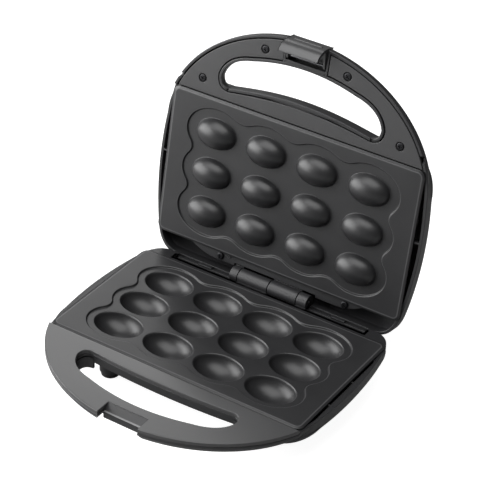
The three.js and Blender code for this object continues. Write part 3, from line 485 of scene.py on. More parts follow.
def makeGrain():
    tree, start, end = addGroup("moulded grain", {"Scale": 1600.0, "Strength": 0.1, "Height": 0.00005},
                                {"Normal": "Vector", "Grain": "Float"})
    fine = addNoise(tree, start["Scale"], 3.0, 0.6)
    bump = addNode(tree, "Bump", {"Strength": start["Strength"], "Distance": start["Height"], "Height": fine})
    tree.links.new(bump["Normal"], end["Normal"])
    tree.links.new(fine, end["Grain"])
    return tree


def makeSmears():
    # mask of smears: wide soft noise
    tree, start, end = addGroup("smears", {"Scale": 22.0, "Amount": 0.5}, {"Smear": "Float"})
    wide = addNoise(tree, start["Scale"], 4.0, 0.55)
    tree.links.new(multiply(tree, stretch(tree, wide, 0.35, 0.75), start["Amount"]), end["Smear"])
    return tree


def makeMaterial(name, dark, light, rough, smear, grain, strength, more):
    # dark and light are the two ends of the colour, rough and smear of the roughness
    made = bpy.data.materials.new(name)
    made.use_nodes = True
    tree = made.node_tree
    shader = tree.nodes["Principled BSDF"].inputs
    grains = addNode(tree, "Group", {"Scale": grain, "Strength": strength}, node_tree=grainGroup)
    smears = addNode(tree, "Group", {"Scale": more.get("patch", 22.0)}, node_tree=smearGroup)["Smear"]
    color = blend(tree, smears, (*dark, 1), (*light, 1))
    # an edge's painted highlight, broken up by the grain
    edge = addNode(tree, "Attribute", attribute_name="edge")["Fac"]
    highlightMask = multiply(tree, edge, stretch(tree, grains["Grain"], 0.3, 0.6, 0.6, 1.0))
    color = blend(tree, highlightMask, color, (*more.get("edge", light), 1))
    tree.links.new(color, shader["Base Color"])
    tree.links.new(stretch(tree, smears, 0.0, 1.0, rough, rough + smear), shader["Roughness"])
    tree.links.new(grains["Normal"], shader["Normal"])
    shader["Metallic"].default_value = more.get("metal", 0.0)
    shader["IOR"].default_value = more.get("ior", 1.5)
    shader["Transmission Weight"].default_value = more.get("clear", 0.0)
    return made


# dark and light colour, roughness, what smears add to it, the grain's scale and strength, and the rest, whose
# edge colour is a painted highlight on marked edges
looks = {
    # shellBlack's edge colour is a painted highlight on the catch's lip
    "shellBlack": ((0.017, 0.017, 0.018), (0.024, 0.024, 0.026), 0.36, 0.1, 2600, 0.12,
                   {"edge": (0.2, 0.2, 0.203)}),
    "coverGrey": ((0.05, 0.05, 0.051), (0.06, 0.06, 0.061), 0.22, 0.06, 3200, 0.05, {}),
    # a darker copy of the cover grey, painted shade for the lid's upright cover
    "coverGreyShaded": ((0.038, 0.038, 0.039), (0.046, 0.046, 0.047), 0.32, 0.08, 3000, 0.08, {}),
    # nonStick's edge colour is a painted highlight along the plates' edges and the recess's rim
    "nonStick": ((0.016, 0.016, 0.017), (0.022, 0.022, 0.023), 0.36, 0.08, 4200, 0.06,
                 {"patch": 30.0, "edge": (0.075, 0.075, 0.077)}),
    "elementSteel": ((0.2, 0.18, 0.16), (0.32, 0.29, 0.25), 0.42, 0.15, 1800, 0.1, {"metal": 1.0}),
    "sheetAluminium": ((0.58, 0.58, 0.58), (0.7, 0.7, 0.69), 0.32, 0.14, 900, 0.06, {"metal": 1.0}),
    "screwDark": ((0.028, 0.028, 0.03), (0.05, 0.05, 0.052), 0.4, 0.16, 5200, 0.06, {"metal": 1.0}),
    "screwSteel": ((0.1, 0.1, 0.105), (0.17, 0.17, 0.175), 0.32, 0.16, 2600, 0.06, {"metal": 1.0}),
    "rubber": ((0.012, 0.012, 0.012), (0.024, 0.024, 0.023), 0.68, 0.2, 1500, 0.25, {}),
    "ceramic": ((0.66, 0.62, 0.54), (0.78, 0.75, 0.69), 0.4, 0.2, 1400, 0.12, {}),
    "redLens": ((0.5, 0.02, 0.012), (0.58, 0.03, 0.016), 0.1, 0.05, 900, 0.02, {"clear": 0.55, "ior": 1.49}),
    "greenLens": ((0.02, 0.36, 0.06), (0.03, 0.44, 0.08), 0.1, 0.05, 900, 0.02, {"clear": 0.55, "ior": 1.49}),
    "lampGlass": ((0.86, 0.66, 0.5), (0.92, 0.74, 0.58), 0.06, 0.04, 700, 0.02, {"clear": 0.85}),
}
finish = {
    "shell_black": "shellBlack", "cover_grey": "coverGrey", "non_stick": "nonStick",
    "element_steel": "elementSteel", "sheet_aluminium": "sheetAluminium", "screw_steel": "screwSteel",
    "rubber": "rubber", "ceramic": "ceramic", "red_lens": "redLens", "green_lens": "greenLens",
    "lamp_glass": "lampGlass",
}

addCamera()
addStudio()
grainGroup = makeGrain()
smearGroup = makeSmears()
material = {name: makeMaterial(name, *look) for name, look in looks.items()}
print("camera, studio and materials made")


# Plans shared by both shells
def sideX(y):
    # the bulged side: a circle through the plate's corners' width and the widest place
    rise = body["bulge"] - body["sideEnd"]
    radius = (plate["halfY"] ** 2 + rise ** 2) / (2 * rise)
    return plate["halfX"] + body["bulge"] - radius + np.sqrt(radius ** 2 - (y - body["sideMiddle"]) ** 2)


def slotInnerCurve(step, count=16):
    middle = -plate["halfY"] - handle["slotBack"] + step
    end = (handle["slotBackHalf"], middle + handle["slotBackSag"])
    return curveOf((0, middle), (handle["slotBackHalf"] / 2, middle), end, count)


def slotOuterCurves():
    # the grip's side of the hand slot from the middle, then round its tip to the inner edge
    front = -plate["halfY"] - handle["slotFront"]
    frontEnd = (handle["slotFrontHalf"], front + handle["slotFrontSag"])
    tip = (handle["slotHalf"], -plate["halfY"] - handle["slotTip"])
    inner = slotInnerCurve(0)[-1]
    return np.vstack([
        curveOf((0, front), (handle["slotFrontHalf"] / 2, front), frontEnd, 16),
        curveOf(frontEnd, (handle["slotHalf"] - plate["corner"], frontEnd[1] + plate["corner"]), tip, 14)[1:],
        curveOf(tip, (handle["slotHalf"], inner[1]), inner, 12)[1:],
    ])


def slotLoop():
    return mirrorLoop(np.vstack([slotOuterCurves(), slotInnerCurve(0)[::-1][1:]]))


seamY = -plate["halfY"] - handle["seam"]
bowlSideY = (-plate["halfY"] - handle["slotBack"] + handle["slotBackSag"] + handle["slotStep"]
             + body["frontCorner"])


def handleArc(inset, start):
    # the handle's ellipse, from half width start to the cover's seam
    middle = handle["middle"] - plate["halfY"]
    halfX = plate["halfX"] + body["bulge"] - inset
    reach = handle["reach"] + handle["middle"] - inset
    first = math.degrees(math.asin(start / halfX))
    last = math.degrees(math.asin((seamY - middle) / reach))
    return arcOf(0, middle, halfX, reach, -90 + first, last, 56)


def bodyLoop(rear, corner):
    front = slotInnerCurve(handle["slotStep"])
    last = front[-1]
    start = (float(sideX(bowlSideY)), bowlSideY)
    turn = curveOf((start[0] - body["frontCorner"], last[1]), (start[0], last[1]), start, 16)
    y = np.linspace(bowlSideY, rear - corner, 40)
    side = np.column_stack([sideX(y), y])
    slope = (y[-1] - body["sideMiddle"]) * 2 * (body["bulge"] - body["sideEnd"])
    slope /= plate["halfY"] ** 2 + (body["bulge"] - body["sideEnd"]) ** 2
    back = curveOf(side[-1], (side[-1, 0] - slope * corner, rear), (side[-1, 0] - corner, rear), 14)
    return mirrorLoop(np.vstack([front, turn, side[1:], back[1:]]))


def trayLoop(notchHalf, notchY):
    # the grip and its two roots: the outer edge, then inside the bowl's wall, then the slot's outer edge
    outer = handleArc(0, notchHalf)
    y = np.linspace(seamY, bowlSideY, 14)
    root = np.column_stack([sideX(y), y])
    slot = slotOuterCurves()[::-1]
    depth = body["wall"] - 0.1
    inner = shrinkLoop(bodyLoop(body["lowerRear"] + plate["halfY"], body["lowerCorner"]), depth)
    near = (inner[:, 0] > slot[0, 0]) & (inner[:, 1] < bowlSideY - 1)
    hidden = inner[near][::-1]
    right = np.vstack([[(0, notchY), (notchHalf, notchY)], outer, root[1:], hidden, slot])
    left = right[::-1] * [-1, 1]
    return np.vstack([right[:-1], left[:-1]])


def mouldPlaces():
    columns = (np.arange(plate["columns"]) - (plate["columns"] - 1) / 2) * plate["pitchX"]
    rows = (np.arange(plate["rows"]) - (plate["rows"] - 1) / 2) * plate["pitchY"]
    return [(x, y) for x in columns for y in rows]


def scallopLoop():
    # arcs round the outer moulds, joined by a notch's curve between each two
    radiusX, radiusY = plate["scallopX"], plate["scallopY"]
    pitchX, pitchY = plate["pitchX"], plate["pitchY"]
    longTurn = math.degrees(math.asin((pitchX / 2 - plate["notchX"]) / radiusX))
    shortTurn = math.degrees(math.asin((pitchY / 2 - plate["notchY"]) / radiusY))
    lastX, lastY = (plate["columns"] - 1) / 2, (plate["rows"] - 1) / 2
    stops = []
    for c in np.arange(-lastX, lastX + 1):
        stops.append((c, -lastY, 180 - shortTurn if c == -lastX else 270 - longTurn,
                      360 + shortTurn if c == lastX else 270 + longTurn))
    for r in np.arange(-lastY + 1, lastY):
        stops.append((lastX, r, -shortTurn, shortTurn))
    half = [(c, r, arcOf(c * pitchX, r * pitchY, radiusX, radiusY, a, b, max(6, round((b - a) / 4))))
            for c, r, a, b in stops]
    whole = half + [(-c, -r, -points) for c, r, points in half]
    loop = []
    for i, (c, r, points) in enumerate(whole):
        nextC, nextR, nextPoints = whole[(i + 1) % len(whole)]
        if nextR == r:
            pull = ((c + nextC) / 2 * pitchX, r * pitchY + np.sign(r) * radiusY * plate["notchLong"])
        else:
            pull = (c * pitchX + np.sign(c) * radiusX * plate["notchShort"], (r + nextR) / 2 * pitchY)
        loop += [points, curveOf(points[-1], pull, nextPoints[0], 14)[1:-1]]
    return np.vstack(loop)


def addRings(shape, rings, x, y, tip, inward=False):
    # rings of ellipses, each (half length, half width, height), with a pole at the end
    made = [addRing(shape, ellipse(x, y, a, b), z) for a, b, z in rings]
    addBands(shape, made, inward)
    addTip(shape, made[-1], (x, y, tip), closing=not inward)
    return made[0]


def bowlRings(halfX, halfY, depth, centre, startAngle, sign, steps=18):
    # an ellipsoid's rings: half axes times cosine of the latitude, height times its sine
    t = np.radians(np.linspace(startAngle, 90, steps, endpoint=False))
    return [(halfX * math.cos(a), halfY * math.cos(a), centre + sign * depth * math.sin(a)) for a in t]


def addMould(shape, x, y, floor):
    # a rounded rim, then half an ellipsoid down to its pole
    a, b, depth = plate["cavityX"], plate["cavityY"], plate["cavityDepth"]
    rim = [(1.05, floor), (0.6, floor - 0.04), (0.3, floor - 0.18), (0.1, floor - 0.42)]
    rings = [(a + out, b + out, z) for out, z in rim] + bowlRings(a, b, depth, 0, 10.5, -1)
    return addRings(shape, rings, x, y, -depth)


def addCup(shape, x, y):
    # the mould's back, with a fillet where it leaves the slab
    a, b, depth = (plate[k] + plate["cupWall"] for k in ("cavityX", "cavityY", "cavityDepth"))
    start = math.degrees(math.asin(plate["slab"] / depth))
    rings = bowlRings(a, b, depth, 0, start + 3, -1, 12)
    a, b, _ = rings[0]
    fillet = [(a + 0.9, b + 0.6, -plate["slab"]), (a + 0.3, b + 0.2, -plate["slab"] - 0.25)]
    return addRings(shape, fillet + rings, x, y, -depth, inward=True)


def addDome(shape, x, y, floor):
    # a fillet out of the recess, then half an ellipsoid up to its pole
    a, b, height = plate["domeX"], plate["domeY"], plate["domeHeight"] - floor
    fillet = [(0.5, 0), (0.3, 0.03), (0.14, 0.12), (0.05, 0.35)]
    rings = [(a + out, b + out, floor + z) for out, z in fillet] + bowlRings(a, b, height, floor, 7, 1)
    return addRings(shape, rings, x, y, floor + height)


def addHollow(shape, x, y):
    # the dome's back, hollow from the slab's underside up
    a, b, height = (plate[k] - plate["domeWall"] for k in ("domeX", "domeY", "domeHeight"))
    height, low = height + plate["slab"], -plate["slab"]
    return addRings(shape, bowlRings(a, b, height, low, 0, 1), x, y, low + height, inward=True)


screwPosts = [(sx * plate["pitchX"], sy * plate["pitchY"] / 2) for sy in (-1, 1) for sx in (-1, 1)]
middlePosts = [(0, -plate["pitchY"] / 2), (0, plate["pitchY"] / 2)]
plateProfiles = {
    # (distance out, height) down the recess's wall, and (radius, height) round a screw post
    "recess": [(0.95, 0), (0.62, -0.03), (0.34, -0.15), (0.16, -0.37), (0.05, -0.75), (-0.06, -1.1),
               (-0.24, -1.34), (-0.52, -1.47), (-0.85, -plate["recess"])],
    "post": [(0, -9), (1.8, -9), (1.8, -16.2), (3.5, -16.2), (3.5, -3.7), (0, -3.7)],
}


def plateShape(domed):
    shape = newShape()
    face = roundedBox(plate["halfX"], plate["halfY"], plate["corner"])
    slab, flange = -plate["slabInset"], plate["bevel"]
    low, floor = -plate["flangeLow"], -plate["recess"]
    edge = [(slab, -plate["slab"]), (slab, low), (flange - 0.3, low), (flange - 0.06, low + 0.08),
            (flange, low + 0.3), (flange, -0.95), (flange - 0.1, -0.68), (flange - 0.38, -0.5),
            (0.5, -0.17), (0.1, -0.07), (-0.4, -0.01), (-0.8, 0)]
    under, rim = addChain(shape, face, edge)
    wallTop, wallLow = addChain(shape, scallopLoop(), plateProfiles["recess"])
    addCap(shape, rim, [wallTop])
    addFront, addBack = (addDome, addHollow) if domed else (addMould, addCup)
    sides = [(addFront(shape, x, y, floor), addBack(shape, x, y)) for x, y in mouldPlaces()]
    addCap(shape, wallLow, [front for front, back in sides])
    addCap(shape, under, [back for front, back in sides], up=False)
    for x, y in screwPosts + (middlePosts if domed else []):
        addTurned(shape, plateProfiles["post"], x, y, 24)
    return shape


def plateEdgeHighlight(points):
    # painted highlight on the outer edge's bevel and the recess's rim, just under the face
    low, high = plate["paintedHighlightBand"]
    return (points[:, 2] > low) & (points[:, 2] < high)


# both plates get the painted highlight along their edges
makePiece("lowerMouldPlate", plateShape(False), "base", "non_stick", ["lower_plate"], edge=plateEdgeHighlight)
makePiece("upperDomePlate", plateShape(True), "lid", "non_stick", ["upper_plate"], edge=plateEdgeHighlight)
print("plates made")


# Shells
def splitAt(loop, axis, value):
    # two points close together wherever the loop crosses the value, so that a height can step there
    made, spread = [], 0.03
    for a, b in zip(loop, np.roll(loop, -1, 0)):
        made.append(a)
        if (a[axis] - value) * (b[axis] - value) < 0:
            t, d = (value - a[axis]) / (b[axis] - a[axis]), spread / abs(b[axis] - a[axis])
            made += [a + (b - a) * (t - d), a + (b - a) * (t + d)]
    return np.array(made)


def addStack(shape, rings):
    # rings are (loop, height), where a height may differ along its loop
    made = [addRing(shape, np.column_stack([loop, np.broadcast_to(z, len(loop))])) for loop, z in rings]
    addBands(shape, made)
    return made[0], made[-1]


def addWall(shape, x, y, profile, count=40):
    # the wall of a round hole, from the outer skin inwards
    made = addCircles(shape, profile, x, y, count)
    addBands(shape, made, inward=True)
    return made[0], made[-1]


def addBlindHoles(shape, holes, low, edge):
    # each hole is (x, y, radius, end)
    mouths = []
    for x, y, radius, end in holes:
        mouth, floor = addWall(shape, x, y, [(radius + edge, low), (radius, low + edge), (radius, end)])
        addCap(shape, floor, up=False)
        mouths.append(mouth)
    return mouths


def rimHeight(loop, front, rules=()):
    # the rim's height: one value behind the plate's front edge and one before it, then any notches
    z = np.where(loop[:, 1] > seamY + gap, -body["rimDrop"], front)
    for x0, x1, y0, y1, height in rules:
        inside = (loop[:, 0] > x0) & (loop[:, 0] < x1) & (loop[:, 1] > y0) & (loop[:, 1] < y1)
        z = np.where(inside, height, z)
    return z


def rimProfile(width, radius):
    # over a rim: up the outer face, across, and down the inner one, as (distance in, height)
    over = [(p, -q) for p, q in quarterRound(radius, 4)]
    return over + [(width - p, z) for p, z in over[::-1]]


def drawnBack(loop, share):
    # under the hand slot the bowl's front falls away faster, by the pull at this share of its depth
    pull = np.interp(share, body["drops"], body["pull"])
    x0, x1 = body["pullX"]
    y0, y1 = body["pullY"]
    t = np.clip([(x1 - np.abs(loop[:, 0])) / (x1 - x0), (y0 - loop[:, 1]) / (y0 - y1)], 0, 1)
    return loop + np.outer(np.prod(t * t * (3 - 2 * t), axis=0), [0, pull])


def addBowl(shape, rear, corner, depth, front, rules, holes, blind, back=lambda loop, share: loop):
    # through holes join the two floors, blind ones end inside a post
    loop = splitAt(bodyLoop(rear, corner), 1, seamY + gap)
    for x in sorted({x for rule in rules for x in rule[:2]}):
        loop = splitAt(loop, 0, x)
    wall = body["wall"]
    inner = offsetLoop(loop, -wall)
    low = -body["rimDrop"] - body["skirt"]
    curve = smoothLine(list(zip(body["insets"], body["drops"]))[::-1], 5)
    rim = rimHeight(loop, front, rules)
    rings = [(back(shrinkLoop(loop, inset), share), low - share * (depth + low)) for inset, share in curve]
    rings += [(offsetLoop(loop, -d), rim + z) for d, z in rimProfile(wall, 0.35)]
    rings += [(back(shrinkLoop(inner, inset), share), low - share * (depth - wall + low))
              for inset, share in curve[::-1]]
    outerFloor, innerFloor = addStack(shape, rings)
    walls = [addWall(shape, x, y, [(radius + 0.3, -depth), (radius, -depth + 0.3), (radius, -depth + wall)])
             for x, y, radius in holes]
    mouths = [mouth for mouth, end in walls] + addBlindHoles(shape, blind, -depth, 0.3)
    addCap(shape, outerFloor, mouths, up=False)
    addCap(shape, innerFloor, [end for mouth, end in walls])


def addTray(shape, notchHalf, notchY, front, rules, holes):
    # the grip: a chamfered channel that the handle's cover closes
    loop = splitAt(trayLoop(notchHalf, notchY), 1, seamY + gap)
    rim = rimHeight(loop, front, rules) - 0.02
    inset, low, rise = -handle["chamfer"], -handle["low"], -handle["low"] + handle["chamferRise"]
    chamfer = [(inset, low), (inset + 0.35, low + 0.3), (-0.3, rise - 0.3), (0, rise + 0.3)]
    # where a rule lowers the rim, the chamfer stays under it
    rings = [(offsetLoop(loop, out), np.minimum(z, rim - 0.9)) for out, z in chamfer]
    rings += [(offsetLoop(loop, -d), rim + z) for d, z in rimProfile(body["wall"], 0.6)]
    rings.append((offsetLoop(loop, -body["wall"]), -handle["floor"]))
    under, floor = addStack(shape, rings)
    addCap(shape, under, addBlindHoles(shape, holes, low, 0.25), up=False)
    addCap(shape, floor)


def bowSlot(shape):
    # the lid's hand slot has a rounder back edge than the base's: y falls by bow * (1 - (x / half)^2)
    for points in shape["points"]:
        across = np.clip(1 - (points[:, 0] / handle["slotBackHalf"]) ** 2, 0, 1)
        along = np.interp(points[:, 1], handle["bowFade"], [0, 1, 1, 0])
        points[:, 1] -= handle["lidSlotBow"] * across * along


def addUpright(shape, loop, profile):
    # an outline carried up its profile, closed above and below
    first, last = addChain(shape, loop, profile)
    addCap(shape, last)
    addCap(shape, first, up=False)


def addLip(shape, top):
    # the slot's inner edge, in front of the bowl
    edge = slotInnerCurve(0, 24)
    edge = np.vstack([edge[::-1] * [-1, 1], edge[1:]])
    loop = np.vstack([edge, edge[::-1] + [0, body["wall"]]])
    addUpright(shape, loop, [(0, -handle["lipDepth"])] + roundUp(top, 0.5))


shellLook = {"rib": 1.4, "ribDepth": 4, "post": 5, "bore": 3.6, "sink": -24.3, "postTop": -17.8}
knuckles = [(a + hinge["gap"] / 2, b - hinge["gap"] / 2) for a, b in zip(hinge["ends"], hinge["ends"][1:])]
handleScrews = [(s * x, y) for x, y in handle["lowerScrews"] for s in (-1, 1)]
lidHandleScrews = [(s * x, y) for x, y in handle["lidScrews"] for s in (-1, 1)]


def addRibs(shape, places):
    # short ribs between the rim and the plate's side
    top, half = -plate["flangeLow"] - gap, shellLook["rib"] / 2
    for y in places:
        x0, x1 = plate["halfX"] - plate["slabInset"] + gap, float(sideX(y)) - body["wall"] / 2
        addPair(shape, x0, x1, y - half, y + half, top - shellLook["ribDepth"], top)


def addKnuckles(shape, ranges, z):
    # a rolled edge at each end of the knuckle catches the light
    for x0, x1 in ranges:
        addBar(shape, x0, x1, hinge["y"], z, hinge["barrel"], 0.5, 72)


def addHollowPost(shape, x, y, low):
    # a screw post, open below as far as its counterbore
    radius, bore, sink, top = (shellLook[k] for k in ("post", "bore", "sink", "postTop"))
    addTurned(shape, [(0, sink), (bore, sink), (bore, low), (radius, low), (radius, top), (0, top)], x, y, 32)


lowerLook = {
    "ribs": [43, 10, -23, -55], "footX": 66, "footY": {"front": -48, "rear": 52}, "footBoss": 8.4,
    "footBossTop": -21.2, "room": (-36.3, 26.3), "roomFloor": -6.7,
    # a small rib at the hinge's right end, from x, y and z to x, y and z in pairs
    "hingeRib": (35.2, 36.7, 74.6, 75.2, -5.3, -3.2),
    "latchHalf": 17.5, "catchY": -121.2, "catchLow": -10.5, "catchStep": (-109, -8), "catchFill": (-8, -7.3),
    "lipTop": -4.9, "recessY": -115, "recessBack": -108.6,
    "slotEndWall": 1.8, "slotEndFrom": 60, "slotEndLow": -16.5,
    "inletX": -72, "inletZ": -15, "inletRadius": 8.6, "inletBore": 6.3, "stopZ": (-6.4, -3.5), "stopY": 75.7,
}
lowerRear = plate["halfY"] + body["lowerRear"]
inletPlace = moved(lowerLook["inletX"], lowerRear, lowerLook["inletZ"]) @ turned("X", -90)
footPlaces = {f"{end}_{side}": (sign * lowerLook["footX"], y)
              for end, y in lowerLook["footY"].items() for side, sign in (("left", -1), ("right", 1))}


def addSlotEnds(shape):
    # the wall round each end of the base's hand slot reaches deeper than the grip
    inner = slotLoop()
    outer = offsetLoop(inner, lowerLook["slotEndWall"])
    low, high = lowerLook["slotEndLow"], -handle["floor"] + 0.5
    for side in (1, -1):
        near = side * inner[:, 0] > lowerLook["slotEndFrom"]
        loop = np.vstack([outer[near], inner[near][::-1]])
        addUpright(shape, loop, [(-0.25, low), (0, low + 0.3), (0, high)])


def addLedge(shape, rear):
    # one flat plan: crescents beside the plate, the corners, and a strip between plate and trough
    b, wall = body, body["wall"]
    half, back = b["troughHalf"], b["ledgeBack"]
    loop = offsetLoop(bodyLoop(rear, b["lowerCorner"]), -wall / 2)
    right = loop[(loop[:, 0] > b["ledgeSide"] - 0.6) | ((loop[:, 0] > half) & (loop[:, 1] > 0))]
    right = np.vstack([right, [(half, right[-1, 1]), (half, back)]])
    inner = np.array([(b["ledgeSide"], b["ledgeFront"]), (b["ledgeSide"], right[0, 1])])
    plan = np.vstack([right, right[::-1] * [-1, 1], inner[::-1] * [-1, 1], inner])
    top, low = -b["rimDrop"] - 0.03, b["troughFloor"] - wall
    addUpright(shape, plan, [(0, -b["rimDrop"] - wall), (0, top)])
    # the trough's front wall, its ends, and its floor with the hinge's room sunk in it
    end = rear - 1.2
    addBlock(shape, -half - 1, half + 1, back - wall, back, low, top, 0.12)
    addPair(shape, half, half + wall, back - wall, end, low, top, 0.12)
    left, right = lowerLook["room"]
    for x0, x1, z in ((-half - 1, left, b["troughFloor"]), (left - 1, right + 1, lowerLook["roomFloor"]),
                      (right, half + 1, b["troughFloor"])):
        addBlock(shape, x0, x1, back - 1, end, low, z - 0.05, 0.1)


def catchLoop():
    # the catch in y and z: a ramp down from the cover, ending in the lip that the latch hooks under
    y, low, lip, back = (lowerLook[k] for k in ("catchY", "catchLow", "lipTop", "recessY"))
    stepY, stepZ = lowerLook["catchStep"]
    top = -handle["cover"] - gap
    return np.array([(y, low), (y + 2.5, low), (y + 2.5, stepZ), (stepY, stepZ), (stepY, top),
                     (back - 0.03, top), (back - 0.03, -0.45), (back - 0.3, -0.35), (y + 1.6, lip + 0.3),
                     (y + 1.1, lip), (y + 0.5, lip), (y + 0.1, lip - 0.25), (y, lip - 0.7)])


def lowerShell():
    s, c, shape, rear = lowerLook, shellLook, newShape(), lowerRear
    depth, floor, front = body["lowerDepth"], -handle["floor"], -handle["cover"] - gap
    half, y, back = s["latchHalf"], s["catchY"], body["ledgeBack"]
    trough = (-body["troughHalf"], body["troughHalf"], back, rear + 1, body["troughFloor"] + 0.2)
    room = (*s["room"], back, rear + 1, s["roomFloor"])
    blind = [(*place, c["bore"], c["sink"]) for place in screwPosts]
    addBowl(shape, rear, body["lowerCorner"], depth, front, [trough, room], [], blind, drawnBack)
    lip = (-half - 0.1, half + 0.1, y - 0.1, y + 0.1, s["lipTop"])
    screwHoles = [(*place, c["bore"], -handle["low"] + 1.5) for place in handleScrews]
    addTray(shape, half, y, front, [lip], screwHoles)
    addLip(shape, front)
    addSlotEnds(shape)
    for place in screwPosts:
        addHollowPost(shape, *place, -depth + 1)
    for place in footPlaces.values():
        addPost(shape, *place, s["footBoss"], -depth, s["footBossTop"], 0.5)
    # the latch's catch, and what closes the recess round it
    addAcross(shape, catchLoop(), -half - gap, half + gap, 0.02)
    addBlock(shape, -half - 2.5, half + 2.5, s["recessY"], s["recessBack"], floor, front)
    addPair(shape, half + gap, half + 2.4, y + 1, s["recessY"] + 1, *s["catchFill"], 0.1)
    addPair(shape, half, half + 2.5, y + 0.3, s["recessY"] + 1, floor, front)
    # the ledge with its trough, the hinge's knuckles, the lid's stops and the cord's collar
    addLedge(shape, rear)
    addKnuckles(shape, knuckles[1::2], 0)
    for x0, x1 in knuckles[1::2]:
        addBlock(shape, x0, x1, back - 0.5, hinge["y"], s["roomFloor"] - 0.5, -body["rimDrop"], 0.1)
    addBlock(shape, *s["hingeRib"], 0.1)
    stop, wide = hinge["stopX"], hinge["stopWidth"] / 2
    addPair(shape, stop - wide, stop + wide, rear - body["wall"], s["stopY"], *s["stopZ"])
    addRibs(shape, s["ribs"])
    r, b = s["inletRadius"], s["inletBore"]
    collar = addTube(newShape(), [(r, -9), (r, -0.5), (r - 0.15, -0.15), (r - 0.5, 0), (b + 0.3, 0),
                                  (b, -0.3), (b, -9)])
    joinShape(shape, collar, inletPlace)
    return shape


lidLook = {
    "ribs": [-4.7], "room": (-35.7, -26.1, 36), "roomLow": -5.2, "underCover": -3.7,
    "tuckX": (63.3, 109.5), "tuckY": (-73.42, -38), "lampX": 13, "lampY": -34, "lensRadius": 3.7,
    "wellY": -124.5, "notchHalf": 17.6, "notchBack": -111.5, "earHalf": 19.4, "earY": (-127.3, -108.6),
    "armZ": (-16, -3), "armInset": 3.2, "stripPost": (3.6, -26, -5.2),
}


def lidShell():
    s, c, shape = lidLook, shellLook, newShape()
    rear = plate["halfY"] + body["lidRear"]
    depth, floor, front = body["lidDepth"], -handle["floor"], -handle["lidRim"]
    near, far = hinge["y"] - hinge["barrel"], rear + 1
    first, split, last = s["room"]
    notches = [(first, split, near, far, s["roomLow"]), (split, last, near, far, -hinge["notchDepth"])]
    holes = [(x, s["lampY"], s["lensRadius"] + gap) for x in (-s["lampX"], s["lampX"])]
    blind = [(*place, c["bore"], c["sink"]) for place in middlePosts]
    addBowl(shape, rear, body["lidCorner"], depth, -body["rimDrop"], notches, holes, blind)
    # the rim drops in the latch's well, and where it runs on under the cover beside the plate
    half, y = s["notchHalf"], s["wellY"]
    x0, x1 = s["tuckX"]
    rules = [(-half - 0.1, half + 0.1, y - 0.1, y + 3, floor), (x0, x1, *s["tuckY"], s["underCover"]),
             (-x1, -x0, *s["tuckY"], s["underCover"])]
    addTray(shape, half, y, front, rules, [])
    addLip(shape, front)
    for place in middlePosts:
        addHollowPost(shape, *place, -depth + 1)
    for place in lidHandleScrews:
        addPost(shape, *place, c["bore"], floor - 0.5, s["underCover"], 0.2)
    # ears at the ends of the latch's pin, and the wall behind the latch
    addPair(shape, half, s["earHalf"], *s["earY"], floor - 0.5, front)
    addBlock(shape, -half - 0.1, half + 0.1, s["notchBack"], s["earY"][1], floor - 0.5, front)
    # knuckles, each with an arm that reaches in to the rear wall
    arms = [(-b, -a) for a, b in knuckles[0::2]]
    addKnuckles(shape, arms, plate["gap"])
    low, high = s["armZ"]
    for x0, x1 in arms:
        addBlock(shape, x0, x1, near, hinge["y"] + hinge["pin"], low, high)
        addBlock(shape, x0, x1, near, rear - s["armInset"], low, -hinge["notchDepth"])
    for x in hinge["stripScrews"]:
        addPost(shape, -x, hinge["stripScrewY"], *s["stripPost"], 0.2)
    addRibs(shape, s["ribs"])
    bowSlot(shape)
    return shape


def catchLipHighlight(points):
    # painted highlight on the lip's top, where the latch hooks under
    x, y, z = points.T
    s = lowerLook
    return ((np.abs(x) < s["latchHalf"] + 0.5) & (y < s["catchY"] + 1.2)
            & (z > s["lipTop"] - 0.3) & (z < s["lipTop"] + 0.1))


# the catch's lip on the lower shell gets a painted highlight
makePiece("lowerShell", lowerShell(), "base", "shell_black", ["lower_housing"], edge=catchLipHighlight)
makePiece("lidShell", lidShell(), "lid", "shell_black", ["lid_housing"])
print("shells made")


# Covers over the two handles
def lowerCover():
    shape, low = newShape(), -handle["cover"]
    half, recess = lowerLook["latchHalf"], lowerLook["recessY"]
    right = np.vstack([[(0, recess), (half, recess)], handleArc(0, half)])
    addSlab(shape, mirrorLoop(right), [slotLoop()], low, 0, 0.55, 0.2)
    for place in handleScrews:
        addPost(shape, *place, shellLook["bore"], -handle["floor"] + gap, low + gap)
    return shape


lidCoverLook = {"screwHole": 1.8, "headHole": 3.6, "mouth": 3.95, "headDepth": 1.5, "notchY": -100}


def lidCover():
    s, shape = lidCoverLook, newShape()
    top = -handle["lidCoverDrop"]
    low = top - handle["lidCoverThick"]
    half, inset = lidLook["earHalf"] + gap, handle["lidCoverInset"]
    outer = handleArc(inset, half)
    slot = offsetLoop(slotLoop(), inset)
    slot = slot[(np.abs(slot[:, 0]) > half) | (slot[:, 1] > s["notchY"])]
    start = int(np.argmin(np.where((slot[:, 0] < 0) & (slot[:, 1] < s["notchY"]), -slot[:, 0], 1e9)))
    around = np.roll(slot[::-1], -(len(slot) - 1 - start), 0)
    endY = float(around[0, 1])
    # from the right of the notch round the outer edge to its left, then back round the slot
    loop = np.vstack([outer, outer[::-1] * [-1, 1], [(-half, endY)], around, [(half, endY)]])
    first, last = addChain(shape, loop, roundOut(low, 0.2) + roundUp(top, 0.45))
    above, below = [], []
    hole, head, step = s["screwHole"], s["headHole"], top - s["headDepth"]
    for place in lidHandleScrews:
        under, floor = addWall(shape, *place, [(hole, low), (hole, step)])
        seat, mouth = addWall(shape, *place, [(head, step), (head, top - 0.3), (head + 0.1, top - 0.1),
                                              (s["mouth"], top)])
        addCap(shape, seat, [floor])
        above.append(mouth)
        below.append(under)
    addCap(shape, last, above)
    addCap(shape, first, below, up=False)
    bowSlot(shape)
    return shape


